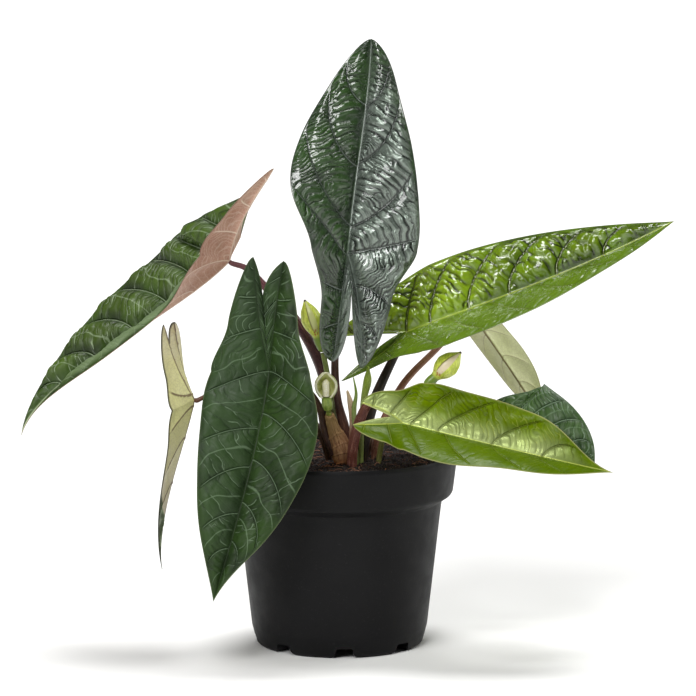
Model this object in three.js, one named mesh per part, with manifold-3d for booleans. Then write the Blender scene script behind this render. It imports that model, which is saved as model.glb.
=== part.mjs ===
// Potted elephant-ear aroid: eight quilted, arrow-shaped leaves on slender stalks and three small
// inflorescences in a round nursery pot. Millimetres, +Z up, the origin at the middle of the pot's
// underside, and -Y towards the side that the leaves are turned to.
import * as THREE from 'three';
import Module from 'manifold-3d';
import { mergeVertices } from 'three/addons/utils/BufferGeometryUtils.js';

// Pot, as half sections [radius, height].
const POT_OUTSIDE = [
  [40.8, 0], [42.3, 1.4], [44.6, 10], [51.6, 71], [52.2, 74.5], [56.8, 77.6], [57.6, 79], [60, 97.6],
  [59.3, 99.5],
];
const POT_INSIDE = [
  [58.6, 99.2], [56.2, 80.6], [50.8, 76.6], [42.6, 8.5], [40, 7],
];
const FOOT_RING_INNER = 33;
const FLOOR_UNDER = 4.5;
const HUB_RADIUS = 9;
const FEET = 8;
const FEET_TURN = 3.4;
const NOTCH_HALF = 4.3;
const NOTCH_FLARE = 7.4;
const NOTCH_TOP = 5.1;
const DRAIN_RADIUS = 3;
const DRAIN_CIRCLE = 24;
const POT_SIDES = 48;

// Potting soil, a plug that fills the pot up to just below the rim.
const SOIL_TOP = 94;
const SOIL_RADIUS = 57.3;
const SOIL_RINGS = 6;
const SOIL_SIDES = 30;
const SOIL_WALL = [[55.4, 81], [50.2, 77.1], [42.2, 8.8], [39.9, 7.4]];
const SOIL_LUMPS = 0.7;
const CLEARANCE = 0.3;

// Blades.
const BLADE = 0.8;
const STATIONS = [-1, -0.5, 0, 0.25, 0.5, 0.75, 1];
const SHAPE_POWER = 1.1;
const SHAPE_WIDEST = 0.25;
const LOBE_TAPER = 0.62;
const LOBE_ROUND = 5;
const LOBE_INNER = 0.32;
const FRAME_REACH = 0.6;
const QUILT_SPACING = 17;
const QUILT_SLANT = 0.45;
const QUILT_HEIGHT = 1.0;

// Each leaf: the point where the stalk meets the blade, the curve of its midrib from there to the tip,
// the bottom of the notch between its two lobes, the half width at the widest place, the directions
// that the upper face looks in (azimuth from -Y towards +X, then elevation) at the stalk, the leaf tip
// and the lobe tips, and for each half the lobe's rib, its inner margin's bends, the share of the half
// width and the fold in degrees at STATIONS, from the lobe tip over the stalk to the leaf tip, and the
// curl, by which the half steepens in degrees from its middle to its margin. A small taper blunts the tip.
const LEAVES = {
  a: {
    joint: [4, -14, 203], midrib: [[6, -8, 234], [15, 6, 273], [16, 20, 307]], notch: [6, -17.5, 183],
    joined: 2, taper: 0.7, halfWidth: 34, face: [[-6, 12], [0, 35], [0, 0]],
    left: {
      rib: [[0, -17, 172], [-3, -18, 148]], inner: [[5.5, -18.5, 165], [2, -18, 150]],
      width: [1.4, 0.82, 0.69, 1.01, 0.98, 0.87, 0.8], fold: [35, 38, 40, 28, 14, 10, 10], curl: -8,
    },
    right: {
      rib: [[12, -19, 176], [10.8, -22, 145.6]], inner: [[6.5, -20, 165], [8, -21, 147]],
      width: [1, 1.1, 1.12, 1.01, 0.91, 0.77, 0.8], fold: [20, 5, 0, 8, 20, 25, 20], curl: -12,
    },
  },
  b: {
    joint: [-35, -46, 148], midrib: [[-39, -60, 121], [-50, -74, 78], [-63, -78, 37]],
    notch: [-38.5, -38, 185], joined: 3, halfWidth: 32, face: [[-15, 30], [-25, 0], [-15, 10]],
    left: {
      rib: [[-33, -41, 175], [-28, -40, 203]], inner: [[-36.5, -39, 197]],
      width: [1, 1.1, 1, 1, 1, 0.93, 0.5], fold: [20, 20, 27, 6, 5, 10, 25], curl: -8,
    },
    right: {
      rib: [[-42, -41, 175], [-43, -40, 205]], inner: [[-39.5, -39, 197]],
      width: [0.85, 1.18, 1.06, 0.94, 0.92, 0.96, 0.9], fold: [10, 5, 12, 25, 32, 32, 32], curl: -10,
    },
  },
  c: {
    joint: [-56, -2, 197], midrib: [[-81, 0, 169.5], [-153.5, -2, 136.5], [-161, -8, 108.4]],
    notch: [-50, -1, 209], joined: 1, halfWidth: 34, face: [[-90, 50], [-86, 50], [-90, 50]],
    left: {
      rib: [[-54, -8, 216], [-33, -12, 245.5]], inner: [[-49, -6, 226]],
      width: [0.7, 0.9, 0.97, 0.98, 0.98, 0.6, 0.05], fold: [35, 40, 30, 10, 4, 0, 3], curl: -6,
    },
    right: {
      rib: [[-52, 5, 214], [-43, 8, 230]], inner: [[-47, 2, 220]],
      width: [0.85, 1.68, 1.3, 1.17, 1.07, 0.9, 0.9], fold: [38, 44, 40, 32, 31, 30, 18], curl: -10,
    },
  },
  d: {
    joint: [-74, -10, 127], midrib: [[-78, -10, 105], [-94.6, -10, 66], [-90, -10, 39.4]],
    notch: [-86, -8, 154.5], joined: 3, halfWidth: 24, face: [[-90, 10], [-90, 0], [-90, 10]],
    left: {
      rib: [[-86, -14, 148], [-88.6, -18, 167]], inner: [[-86.6, -13, 161]],
      width: [1, 1.05, 0.98, 0.95, 0.8, 0.5, 0.25], fold: [25, 30, 30, 18, 15, 18, 22], curl: 8,
    },
    right: {
      rib: [[-83, 0, 146], [-83.8, 2, 164.8]], inner: [[-87, -2, 160], [-86.2, 1, 165]],
      width: [2.2, 0.9, 0.85, 1.02, 0.88, 0.55, 0.25], fold: [-20, -12, 12, 14, 12, 14, 18], curl: 8,
    },
  },
  e: {
    joint: [34, 6, 159], midrib: [[61, 4, 170], [117, 0, 189], [168.4, -10, 218.4]],
    notch: [30, 5, 158.4], joined: 1, halfWidth: 33, face: [[-15, 43], [0, 40], [-15, 43]],
    left: {
      rib: [[18, 10, 160.5], [0, 10, 155.8]], inner: [[16, 7, 158]],
      width: [1, 0.95, 1, 0.98, 0.95, 0.94, 1], fold: [10, 10, 8, 6, 4, 4, 4], curl: -6,
    },
    right: {
      rib: [[18, -4, 146], [1, -6, 136]], inner: [[18.5, -1, 153]],
      width: [0.7, 0.9, 1.14, 1.08, 1.03, 1, 1], fold: [40, 35, 33, 34, 35, 37, 32], curl: -5,
    },
  },
  f: {
    joint: [32, -42, 121], midrib: [[55, -46, 116], [106, -50, 104], [137, -54, 98]],
    notch: [26, -41, 124], joined: 1, halfWidth: 27, face: [[10, 40], [10, 40], [10, 40]],
    left: {
      rib: [[22, -37, 129], [11, -36, 130]], inner: [[20, -39, 127]],
      width: [1.1, 1.05, 1.1, 0.97, 1.01, 0.98, 0.3], fold: [30, 20, 5, 5, 8, 28, 30], curl: 24,
    },
    right: {
      rib: [[21, -46, 121], [7, -46, 121]], inner: [[18, -43, 124]],
      width: [1, 1, 1, 1, 1, 1.16, 0.7], fold: [8, 8, 25, 26, 33, 33, 20], curl: -8,
    },
  },
  g: {
    joint: [67, 34, 164], midrib: [[77, 36, 150], [92, 38, 127], [105, 36, 107]],
    notch: [62, 36, 170], joined: 1, halfWidth: 17, face: [[182, 20], [182, 20], [182, 20]],
    left: {
      rib: [[62, 40, 174], [56, 44, 184]], inner: [[59, 38, 176]],
      width: [1, 1, 1, 1, 1, 1, 1], fold: [30, 35, 46, 50, 50, 45, 45], curl: -6,
    },
    right: {
      rib: [[58, 39, 170], [49, 44, 178]], inner: [[56, 37, 173]],
      width: [1, 0.8, 0.67, 0.72, 0.92, 1.1, 1.2], fold: [30, 35, 46, 50, 48, 40, 40], curl: -6,
    },
  },
  h: {
    joint: [87, 10, 113], midrib: [[97, 0, 112], [119, -10, 105], [129, -16, 94]],
    notch: [84, 11.5, 114], joined: 1, halfWidth: 23, face: [[20, 20], [20, 20], [20, 20]],
    left: {
      rib: [[84, 14, 117], [79, 17, 121]], inner: [[81, 14, 116]],
      width: [1.2, 1.5, 1.2, 0.97, 0.93, 1.02, 1.2], fold: [20, 20, 10, 5, 5, 0, 0], curl: -8,
    },
    right: {
      rib: [[81, 11, 111], [73, 12, 108]], inner: [[79, 12, 113]],
      width: [1, 1, 1.04, 1.1, 1.1, 1.05, 1], fold: [10, 10, 10, 10, 10, 10, 10], curl: -8,
    },
  },
};
const LEAF_ROWS = { a: 16, b: 16, c: 16, d: 12, e: 17, f: 14, g: 10, h: 10 };
const LEAF_COLUMNS = { a: 4, b: 4, c: 4, d: 3, e: 4, f: 4, g: 3, h: 3 };
const LOBE_ROWS = 6;

// Stems, each as points with the radius there, from the foot in the soil upwards. A leaf stalk ends
// just under its blade.
const STALKS = {
  a: [[5.2, -1.6, 82, 2.9], [4.6, -1.8, 95, 3.1], [2.2, -3.8, 111, 3.1], [-1.2, -6, 126, 2.3],
    [-2.3, -7, 146, 1.9], [1, -9.6, 180, 1.7]],
  b: [[-3.4, -12.6, 99, 1.3], [-5.4, -12.8, 105, 1.7], [-7.8, -12.6, 112, 1.8], [-10.2, -15, 124, 1.8],
    [-22, -31, 141, 1.7]],
  c: [[-2.6, -8.4, 98, 1.6], [-3.8, -8.5, 104, 2], [-5.8, -8.8, 120, 2.3], [-8.8, -7.4, 141, 2.8],
    [-20.4, -4, 164, 2.7], [-36, -3, 182, 2.1], [-47, -2, 193, 1.5]],
  d: [[-5, -2, 82, 1.8], [-5.6, -1.8, 96, 1.8], [-14, 0, 115, 1.7], [-35, -4, 130, 1.4],
    [-55, -8, 131.5, 1], [-66, -9.4, 129.6, 0.9]],
  e: [[11.6, -3, 82, 3], [11.6, -3, 95, 3], [13.6, -1.5, 110, 3], [17.8, 1, 125, 2.7],
    [27, 4.4, 145, 2.1]],
  f: [[6.6, -16.8, 82, 2.4], [6.4, -17, 96, 2.6], [7.6, -17.2, 108, 2.7], [10.8, -17.2, 119, 2.6],
    [14.4, -18.6, 126, 2.2], [21, -25, 127, 1.9], [28, -35, 122.5, 1.5]],
  g: [[18.5, 2.5, 82, 1.9], [18, 3, 97, 1.9], [19, 4, 105, 1.9], [32, 10, 131, 1.8],
    [49.5, 20, 148, 1.6]],
  h: [[13, 6.4, 82, 1.9], [13.6, 7, 96, 1.9], [21, 10, 105, 1.8], [45, 16, 110, 1.6], [70, 22, 107, 1.4],
    [80, 18.4, 109, 1.3]],
};
const STALK_END = 1.2;
const PEDUNCLES = {
  1: [[0.4, -9.4, 97, 1.4], [-0.4, -9.6, 104, 1.4], [-3.2, -11.8, 121, 1.4], [-6, -12.4, 140, 1.4],
    [-8.2, -13.8, 151.6, 1.4]],
  2: [[-0.2, -12.2, 98, 1.3], [-1.4, -12.9, 107, 1.4], [-2.8, -14.2, 112.1, 1.4], [-5.2, -17.2, 120.9, 1.4],
    [-5.5, -18, 122.2, 1.4]],
  3: [[19.4, -6, 82, 1.4], [20, -6.6, 96, 1.4], [25, -10, 116, 1.4], [36, -14, 130, 1.3],
    [42.6, -15, 134, 1.3]],
};

// Closed spathes: axis from the foot of the tube to the tip, and [share of the axis, radius].
const CLOSED_SPATHES = {
  1: {
    from: [-8.5, -14, 152.2], to: [-17.6, -14.4, 179],
    profile: [[0, 1.3], [0.08, 2.1], [0.22, 2.5], [0.33, 2.2], [0.48, 4.4], [0.64, 5.3], [0.8, 4],
      [0.92, 1.8]],
  },
  3: {
    from: [42.9, -15, 134.4], to: [61.4, -15, 152.4],
    profile: [[0, 1.3], [0.07, 2.4], [0.2, 2.7], [0.3, 2.3], [0.45, 5], [0.62, 6.1], [0.8, 4.6],
      [0.93, 1.6]],
  },
};
const HOOD_TUBE = {
  from: [-5.6, -18.2, 122.7], to: [-6.6, -19.8, 130],
  profile: [[0, 1.3], [0.15, 2.3], [0.5, 2.9], [0.85, 2.6], [1, 2.1]],
};
const HOOD = {
  foot: [-6.6, -19.8, 130.4], lean: [-0.4, -0.3], height: 12.6, openness: 150,
  radius: [3.4, 5, 5.6, 5.4, 4.1, 1.4], forward: [0, 0, 0, 0.6, 1.8, 3.2],
};
const SPADIX = {
  from: [-6.65, -19.9, 130.4], to: [-7, -20.4, 139.4],
  profile: [[0, 1.7], [0.8, 1.8], [0.94, 1.2]],
};
const BUDS = {
  cataphyll: [[5.6, -8.2, 82, 1.4], [6, -8.6, 100, 1.5], [6.6, -9, 114, 1.6], [5.6, -9.2, 125, 1.6],
    [4.1, -9.4, 131, 0.6]],
  spear: [[8.8, -12.6, 82, 1.1], [8.4, -12.6, 100, 1.1], [7.6, -12.6, 114, 1.2], [7.4, -12.4, 123, 1.3],
    [8.4, -12, 130.4, 0.8], [7.1, -11.6, 138.6, 0.3]],
  bud: [[11, -9.6, 82, 1.2], [11, -9.6, 104, 1.3], [11.4, -10, 118, 1.4], [12.4, -11, 128, 1.6],
    [14.2, -13.4, 137.6, 2.3], [14.5, -15.4, 144.6, 0.5]],
};

// Papery corm that sits on the soil. The front stems rise from it, one of them through its long neck.
const CORM = [[0.8, -10.8, 84, 2.6], [0.8, -10.8, 93, 2.8], [0.9, -10.8, 97.5, 4.6], [0.5, -11, 102.5, 5.3],
  [-0.9, -12.2, 107.5, 4.4], [-2.8, -14.2, 112.5, 3.2], [-5.2, -17.2, 120.6, 2.3]];
const CORM_SIDES = 14;

const wasm = await Module();
wasm.setup();

const vec = (p) => new THREE.Vector3(p[0], p[1], p[2]);
const mix = (a, b, t) => a.clone().lerp(b, t);

// The place at t on the Bezier curve of the points.
function bezier(points, t) {
  let row = points;
  while (row.length > 1) {
    row = row.slice(1).map((p, k) => mix(row[k], p, t));
  }
  return row[0];
}
const radians = THREE.MathUtils.degToRad;

function facing([azimuth, elevation]) {
  const a = radians(azimuth);
  const e = radians(elevation);
  return new THREE.Vector3(Math.sin(a) * Math.cos(e), -Math.cos(a) * Math.cos(e), Math.sin(e));
}

// Smooth curve through the values at the stations.
function through(x, stations, values) {
  const last = stations.length - 1;
  const at = Math.min(Math.max(x, stations[0]), stations[last]);
  let i = 0;
  while (i < last - 1 && at > stations[i + 1]) {
    i += 1;
  }
  const slope = (k) => {
    const lo = Math.max(k - 1, 0);
    const hi = Math.min(k + 1, last);
    return (values[hi] - values[lo]) / (stations[hi] - stations[lo]);
  };
  const h = stations[i + 1] - stations[i];
  const t = (at - stations[i]) / h;
  return (2 * t ** 3 - 3 * t ** 2 + 1) * values[i] + (t ** 3 - 2 * t ** 2 + t) * h * slope(i)
    + (-2 * t ** 3 + 3 * t ** 2) * values[i + 1] + (t ** 3 - t ** 2) * h * slope(i + 1);
}

// Half width of the front part of a blade, as a share of its widest place.
function frontShape(t, taper) {
  const b = taper / (1 - SHAPE_WIDEST * (1 + taper));
  const top = (1 - SHAPE_WIDEST) ** taper * (1 + b * SHAPE_WIDEST);
  return (1 - t) ** taper * (1 + b * t) / top;
}

function lobeShape(q, taper) {
  return frontShape(0, taper) * (1 - LOBE_TAPER * q) * Math.sqrt(Math.max(1 - q ** LOBE_ROUND, 0));
}

// A closed body from a vertex list and triangles.
function body(points, triangles) {
  const geometry = new THREE.BufferGeometry();
  const coordinates = points.flatMap((p) => [p.x, p.y, p.z]);
  geometry.setAttribute('position', new THREE.Float32BufferAttribute(coordinates, 3));
  geometry.setIndex(triangles.flat());
  return geometry;
}

// An open sheet made solid: each face is moved half the thickness along the sheet's normals, and the
// two are joined along the rim.
function thicken(points, triangles, thickness) {
  const normals = points.map(() => new THREE.Vector3());
  const edges = new Map();
  for (const [a, b, c] of triangles) {
    const n = points[b].clone().sub(points[a]).cross(points[c].clone().sub(points[a]));
    [a, b, c].forEach((k) => normals[k].add(n));
    [[a, b], [b, c], [c, a]].forEach(([p, q]) => edges.set(`${p},${q}`, [p, q]));
  }
  const count = points.length;
  const offset = (sign) => points.map((p, k) => p.clone().addScaledVector(
    normals[k].clone().normalize(), sign * thickness / 2));
  const all = [...offset(1), ...offset(-1)];
  const faces = triangles.map((t) => [...t]);
  triangles.forEach(([a, b, c]) => faces.push([a + count, c + count, b + count]));
  for (const [p, q] of edges.values()) {
    if (!edges.has(`${q},${p}`)) {
      faces.push([p, p + count, q + count], [p, q + count, q]);
    }
  }
  return body(all, faces);
}

// Places along a lobe, closer together towards its rounded tip.
const lobePlace = (j) => 1 - (1 - j / LOBE_ROWS) ** 1.8;

function leafSheet(leaf, rows, columns) {
  const joint = vec(leaf.joint);
  const midribCurve = new THREE.CubicBezierCurve3(joint, ...leaf.midrib.map(vec));
  const midrib = { points: midribCurve.getSpacedPoints(rows), length: midribCurve.getLength() };
  const [faceJoint, faceTip, faceLobe] = leaf.face.map(facing);
  const points = [];
  const triangles = [];
  const add = (p) => points.push(p) - 1;
  const spine = midrib.points.map(add);
  const taper = leaf.taper ?? SHAPE_POWER;
  const notchLine = [];
  for (let j = 0; j <= leaf.joined; j += 1) {
    notchLine.push(j === 0 ? spine[0] : add(mix(joint, vec(leaf.notch), j / leaf.joined)));
  }
  const quad = (a, b, c, d, flip) => {
    [[a, b, c], [a, c, d]].forEach((t) => {
      if (new Set(t).size === 3) {
        triangles.push(flip ? [t[0], t[2], t[1]] : t);
      }
    });
  };
  for (const [half, sign] of [[leaf.left, -1], [leaf.right, 1]]) {
    const lobeTip = vec(half.rib[1]);
    const rib = new THREE.QuadraticBezierCurve3(joint, vec(half.rib[0]), lobeTip);
    const lobeLength = rib.getLength();
    const lobePoints = Array.from({ length: LOBE_ROWS }, (_, k) => rib.getPointAt(lobePlace(LOBE_ROWS - k)));
    const line = [...lobePoints, ...midrib.points];
    const stops = line.map((p, k) => (k < LOBE_ROWS
      ? -lobeLength * lobePlace(LOBE_ROWS - k)
      : midrib.length * (k - LOBE_ROWS) / rows));
    const pointAt = (s) => {
      let k = 0;
      while (k < stops.length - 2 && s > stops[k + 1]) {
        k += 1;
      }
      const along = THREE.MathUtils.clamp((s - stops[k]) / (stops[k + 1] - stops[k]), 0, 1);
      return mix(line[k], line[k + 1], along);
    };
    const reach = FRAME_REACH * lobeLength;
    const outer = line.map((p, k) => {
      const s = stops[k];
      const x = s < 0 ? s / lobeLength : s / midrib.length;
      const t = Math.max(x, 0);
      const q = Math.max(-x, 0);
      const tangent = pointAt(s + reach).sub(pointAt(s - reach)).normalize();
      const turn = (t + q) ** 2 * (3 - 2 * (t + q));
      const up = mix(faceJoint, s < 0 ? faceLobe : faceTip, turn);
      up.addScaledVector(tangent, -up.dot(tangent)).normalize();
      const across = new THREE.Vector3().crossVectors(tangent, up).multiplyScalar(sign);
      const ease = THREE.MathUtils.smoothstep(q, 0, 0.45);
      const share = through(x, STATIONS, half.width) * leaf.halfWidth;
      const lobeWidth = lobeShape(q, taper) * (1 - LOBE_INNER * ease);
      const width = share * (s < 0 ? lobeWidth : frontShape(t, taper));
      const fold = radians(through(x, STATIONS, half.fold));
      const curl = radians(half.curl);
      const lift = up.clone().multiplyScalar(Math.cos(fold)).addScaledVector(across, -Math.sin(fold));
      const row = [];
      for (let c = 0; c <= columns; c += 1) {
        const u = c / columns;
        const phase = (s - QUILT_SLANT * u * width) / QUILT_SPACING;
        const relief = QUILT_HEIGHT * Math.sin(Math.PI * phase) ** 2 * Math.sin(Math.PI * u)
          * Math.min(width / 12, 1);
        const slope = fold + curl * (2 * u - 1);
        const out = (Math.sin(slope) - Math.sin(fold - curl)) / (2 * curl);
        const rise = (Math.cos(fold - curl) - Math.cos(slope)) / (2 * curl);
        const place = p.clone().addScaledVector(across, width * out).addScaledVector(up, width * rise);
        row.push(place.addScaledVector(lift, relief));
      }
      return row;
    });
    const last = outer.length - 1;
    const tipLobe = add(lobeTip);
    const ids = outer.map((row, k) => row.map((p, c) => {
      if (k === 0) {
        return tipLobe;
      }
      if (k === last) {
        return spine[rows];
      }
      if (c === 0 && k >= LOBE_ROWS) {
        return spine[k - LOBE_ROWS];
      }
      return add(p);
    }));
    for (let k = 0; k < last; k += 1) {
      for (let c = 0; c < columns; c += 1) {
        quad(ids[k][c], ids[k][c + 1], ids[k + 1][c + 1], ids[k + 1][c], sign < 0);
      }
    }
    const margin = [vec(leaf.notch), ...half.inner.map(vec), lobeTip];
    const innerIds = [];
    for (let j = 0; j <= LOBE_ROWS; j += 1) {
      const rib = ids[LOBE_ROWS - j][0];
      if (j === 0 || j === LOBE_ROWS) {
        innerIds.push([rib, rib, rib]);
      } else {
        const free = (lobePlace(j) - lobePlace(leaf.joined)) / (1 - lobePlace(leaf.joined));
        const edge = j <= leaf.joined ? notchLine[j] : add(bezier(margin, free));
        innerIds.push([rib, add(mix(points[rib], points[edge], 0.5)), edge]);
      }
    }
    for (let j = 0; j < LOBE_ROWS; j += 1) {
      for (let c = 0; c < 2; c += 1) {
        quad(innerIds[j][c], innerIds[j][c + 1], innerIds[j + 1][c + 1], innerIds[j + 1][c], sign < 0);
      }
    }
  }
  return { points, triangles };
}

// Direction that the blade's upper face looks in at its stalk.
function upAt(leaf) {
  const tangent = vec(leaf.midrib[0]).sub(vec(leaf.joint)).normalize();
  const up = facing(leaf.face[0]);
  return up.addScaledVector(tangent, -up.dot(tangent)).normalize();
}

// A tapering round stem through points with a radius each, closed at both ends. Its head is a low
// cone, headShare of the last radius high.
function stem(stations, sides, steps, grow = 0, headShare = 0.35) {
  const curve = new THREE.CatmullRomCurve3(stations.map(vec), false, 'centripetal');
  const points = [];
  const triangles = [];
  const across = new THREE.Vector3(0, 1, 0.13);
  for (let i = 0; i <= steps; i += 1) {
    const t = i / steps;
    const centre = curve.getPoint(t);
    const tangent = curve.getTangent(t);
    const x = new THREE.Vector3().crossVectors(tangent, across).normalize();
    const y = new THREE.Vector3().crossVectors(tangent, x);
    const k = Math.min(Math.floor(t * (stations.length - 1)), stations.length - 2);
    const part = t * (stations.length - 1) - k;
    const radius = THREE.MathUtils.lerp(stations[k][3], stations[k + 1][3], part) + grow;
    if (i === 0) {
      centre.addScaledVector(tangent, -grow);
    }
    for (let j = 0; j < sides; j += 1) {
      const a = 2 * Math.PI * j / sides;
      const out = x.clone().multiplyScalar(Math.cos(a)).addScaledVector(y, Math.sin(a));
      points.push(centre.clone().addScaledVector(out, radius));
    }
  }
  for (let i = 0; i < steps; i += 1) {
    for (let j = 0; j < sides; j += 1) {
      const n = (j + 1) % sides;
      const a = i * sides;
      triangles.push([a + j, a + n, a + sides + n], [a + j, a + sides + n, a + sides + j]);
    }
  }
  const foot = points.push(curve.getPoint(0).addScaledVector(curve.getTangent(0), -grow)) - 1;
  const rise = headShare * stations.at(-1)[3];
  const head = points.push(curve.getPoint(1).addScaledVector(curve.getTangent(1), rise)) - 1;
  for (let j = 0; j < sides; j += 1) {
    const n = (j + 1) % sides;
    triangles.push([foot, n, j], [head, steps * sides + j, steps * sides + n]);
  }
  return body(points, triangles);
}

// A body of revolution about a slanting axis.
function spindle({ from, to, profile }, sides) {
  const start = vec(from);
  const axis = vec(to).sub(start);
  const length = axis.length();
  const section = [new THREE.Vector2(0, 0)];
  profile.forEach(([share, radius]) => section.push(new THREE.Vector2(radius, share * length)));
  section.push(new THREE.Vector2(0, length));
  const geometry = new THREE.LatheGeometry(section, sides);
  const lean = new THREE.Quaternion().setFromUnitVectors(new THREE.Vector3(0, 1, 0), axis.normalize());
  geometry.applyQuaternion(lean);
  geometry.translate(start.x, start.y, start.z);
  return geometry;
}

// The open hood of a spathe: a sheet round the back of the spadix that bends forward over it.
function hoodSheet({ foot, lean, height, openness, radius, forward }) {
  const base = vec(foot);
  const points = [];
  const triangles = [];
  const columns = 10;
  const rows = radius.length - 1;
  for (let i = 0; i <= rows; i += 1) {
    const v = i / rows;
    for (let j = 0; j <= columns; j += 1) {
      const a = radians(openness) * (2 * j / columns - 1);
      points.push(new THREE.Vector3(
        base.x + lean[0] * v + radius[i] * Math.sin(a),
        base.y + lean[1] * v - forward[i] + radius[i] * Math.cos(a),
        base.z + height * v,
      ));
    }
  }
  for (let i = 0; i < rows; i += 1) {
    for (let j = 0; j < columns; j += 1) {
      const a = i * (columns + 1) + j;
      const b = a + columns + 1;
      triangles.push([a, b, b + 1], [a, b + 1, a + 1]);
    }
  }
  return { points, triangles };
}

function solid(geometry) {
  const bare = geometry.clone();
  bare.deleteAttribute('normal');
  bare.deleteAttribute('uv');
  const merged = mergeVertices(bare, 1e-4);
  return new wasm.Manifold(new wasm.Mesh({
    numProp: 3,
    vertProperties: merged.attributes.position.array,
    triVerts: new Uint32Array(merged.index.array),
  }));
}

function geometryOf(manifold) {
  const mesh = manifold.getMesh();
  const geometry = new THREE.BufferGeometry();
  geometry.setAttribute('position', new THREE.BufferAttribute(new Float32Array(mesh.vertProperties), 3));
  geometry.setIndex(new THREE.BufferAttribute(new Uint32Array(mesh.triVerts), 1));
  return geometry;
}

function cutAll(geometry, tools) {
  return geometryOf(tools.reduce((rest, tool) => rest.subtract(solid(tool)), solid(geometry)));
}

// Turned about +Z, from a section in radius and height.
function turned(section, sides) {
  return new THREE.LatheGeometry(section.map(([r, z]) => new THREE.Vector2(r, z)), sides).rotateX(Math.PI / 2);
}

function potGeometry() {
  const section = [
    [0, 0], [HUB_RADIUS, 0], [HUB_RADIUS + 1, FLOOR_UNDER], [FOOT_RING_INNER, FLOOR_UNDER],
    [FOOT_RING_INNER + 1, 0], ...POT_OUTSIDE, ...POT_INSIDE, [0, 7],
  ];
  const tools = [];
  for (let k = 0; k < FEET; k += 1) {
    const angle = radians(FEET_TURN + 360 * k / FEET - 90);
    const arch = new THREE.Shape();
    arch.moveTo(-NOTCH_FLARE, -2);
    arch.lineTo(-NOTCH_FLARE, 0);
    arch.quadraticCurveTo(-NOTCH_HALF, 0.6, -NOTCH_HALF, NOTCH_TOP - 1);
    arch.lineTo(-NOTCH_HALF + 1, NOTCH_TOP);
    arch.lineTo(NOTCH_HALF - 1, NOTCH_TOP);
    arch.lineTo(NOTCH_HALF, NOTCH_TOP - 1);
    arch.quadraticCurveTo(NOTCH_HALF, 0.6, NOTCH_FLARE, 0);
    arch.lineTo(NOTCH_FLARE, -2);
    const bar = new THREE.ExtrudeGeometry(arch, { depth: 18, bevelEnabled: false, curveSegments: 4 });
    bar.rotateX(Math.PI / 2);
    bar.translate(0, -30.5, 0);
    bar.rotateZ(angle + Math.PI / 2);
    tools.push(bar);
    const drain = new THREE.CylinderGeometry(DRAIN_RADIUS, DRAIN_RADIUS, 8, 10).rotateX(Math.PI / 2);
    const beside = angle + Math.PI / FEET;
    drain.translate(DRAIN_CIRCLE * Math.cos(beside), DRAIN_CIRCLE * Math.sin(beside), 5.75);
    tools.push(drain);
  }
  return cutAll(turned(section, POT_SIDES), tools);
}

function soilGeometry(tools) {
  const points = [];
  const triangles = [];
  const wall = [[SOIL_RADIUS, SOIL_TOP - 0.4], ...SOIL_WALL];
  const lump = (r, a) => SOIL_LUMPS * (Math.sin(0.31 * r * Math.cos(a) + 1) * Math.cos(0.37 * r * Math.sin(a))
    + 0.5 * Math.sin(0.8 * r * Math.cos(a + 1)));
  const rings = [];
  for (let i = 1; i <= SOIL_RINGS; i += 1) {
    const r = SOIL_RADIUS * i / SOIL_RINGS;
    rings.push((a) => [r, i === SOIL_RINGS ? wall[0][1] : SOIL_TOP + lump(r, a)]);
  }
  wall.slice(1).forEach(([r, z]) => rings.push(() => [r, z]));
  points.push(new THREE.Vector3(0, 0, SOIL_TOP + lump(0, 0)));
  rings.forEach((ring) => {
    for (let j = 0; j < SOIL_SIDES; j += 1) {
      const a = 2 * Math.PI * j / SOIL_SIDES;
      const [r, z] = ring(a);
      points.push(new THREE.Vector3(r * Math.cos(a), r * Math.sin(a), z));
    }
  });
  const bottom = points.push(new THREE.Vector3(0, 0, wall.at(-1)[1])) - 1;
  const id = (i, j) => 1 + i * SOIL_SIDES + j % SOIL_SIDES;
  for (let j = 0; j < SOIL_SIDES; j += 1) {
    triangles.push([0, id(0, j), id(0, j + 1)]);
    triangles.push([bottom, id(rings.length - 1, j + 1), id(rings.length - 1, j)]);
    for (let i = 0; i < rings.length - 1; i += 1) {
      triangles.push([id(i, j), id(i + 1, j), id(i + 1, j + 1)], [id(i, j), id(i + 1, j + 1), id(i, j + 1)]);
    }
  }
  return cutAll(body(points, triangles), tools);
}

const plant = new THREE.Group();

function piece(name, geometry, color, roughness) {
  const mesh = new THREE.Mesh(geometry, new THREE.MeshStandardMaterial({ color, roughness, metalness: 0 }));
  mesh.name = name;
  plant.add(mesh);
}

// The stem's foot with the clearance of its hole, up to just above the surface round it.
function hole(stations, upTo, sides) {
  const kept = stations.filter((s) => s[2] < upTo);
  const next = stations[kept.length] ?? kept.at(-1);
  return stem([...kept, next], sides, kept.length * 3, CLEARANCE);
}

const SIDES = 8;
const stalkTo = (name) => {
  const leaf = LEAVES[name];
  const end = vec(leaf.joint).addScaledVector(upAt(leaf), -(BLADE / 2 + CLEARANCE + STALK_END));
  return [...STALKS[name], [end.x, end.y, end.z, STALK_END]];
};

piece('pot', potGeometry(), '#1e1e1f', 0.75);

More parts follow.
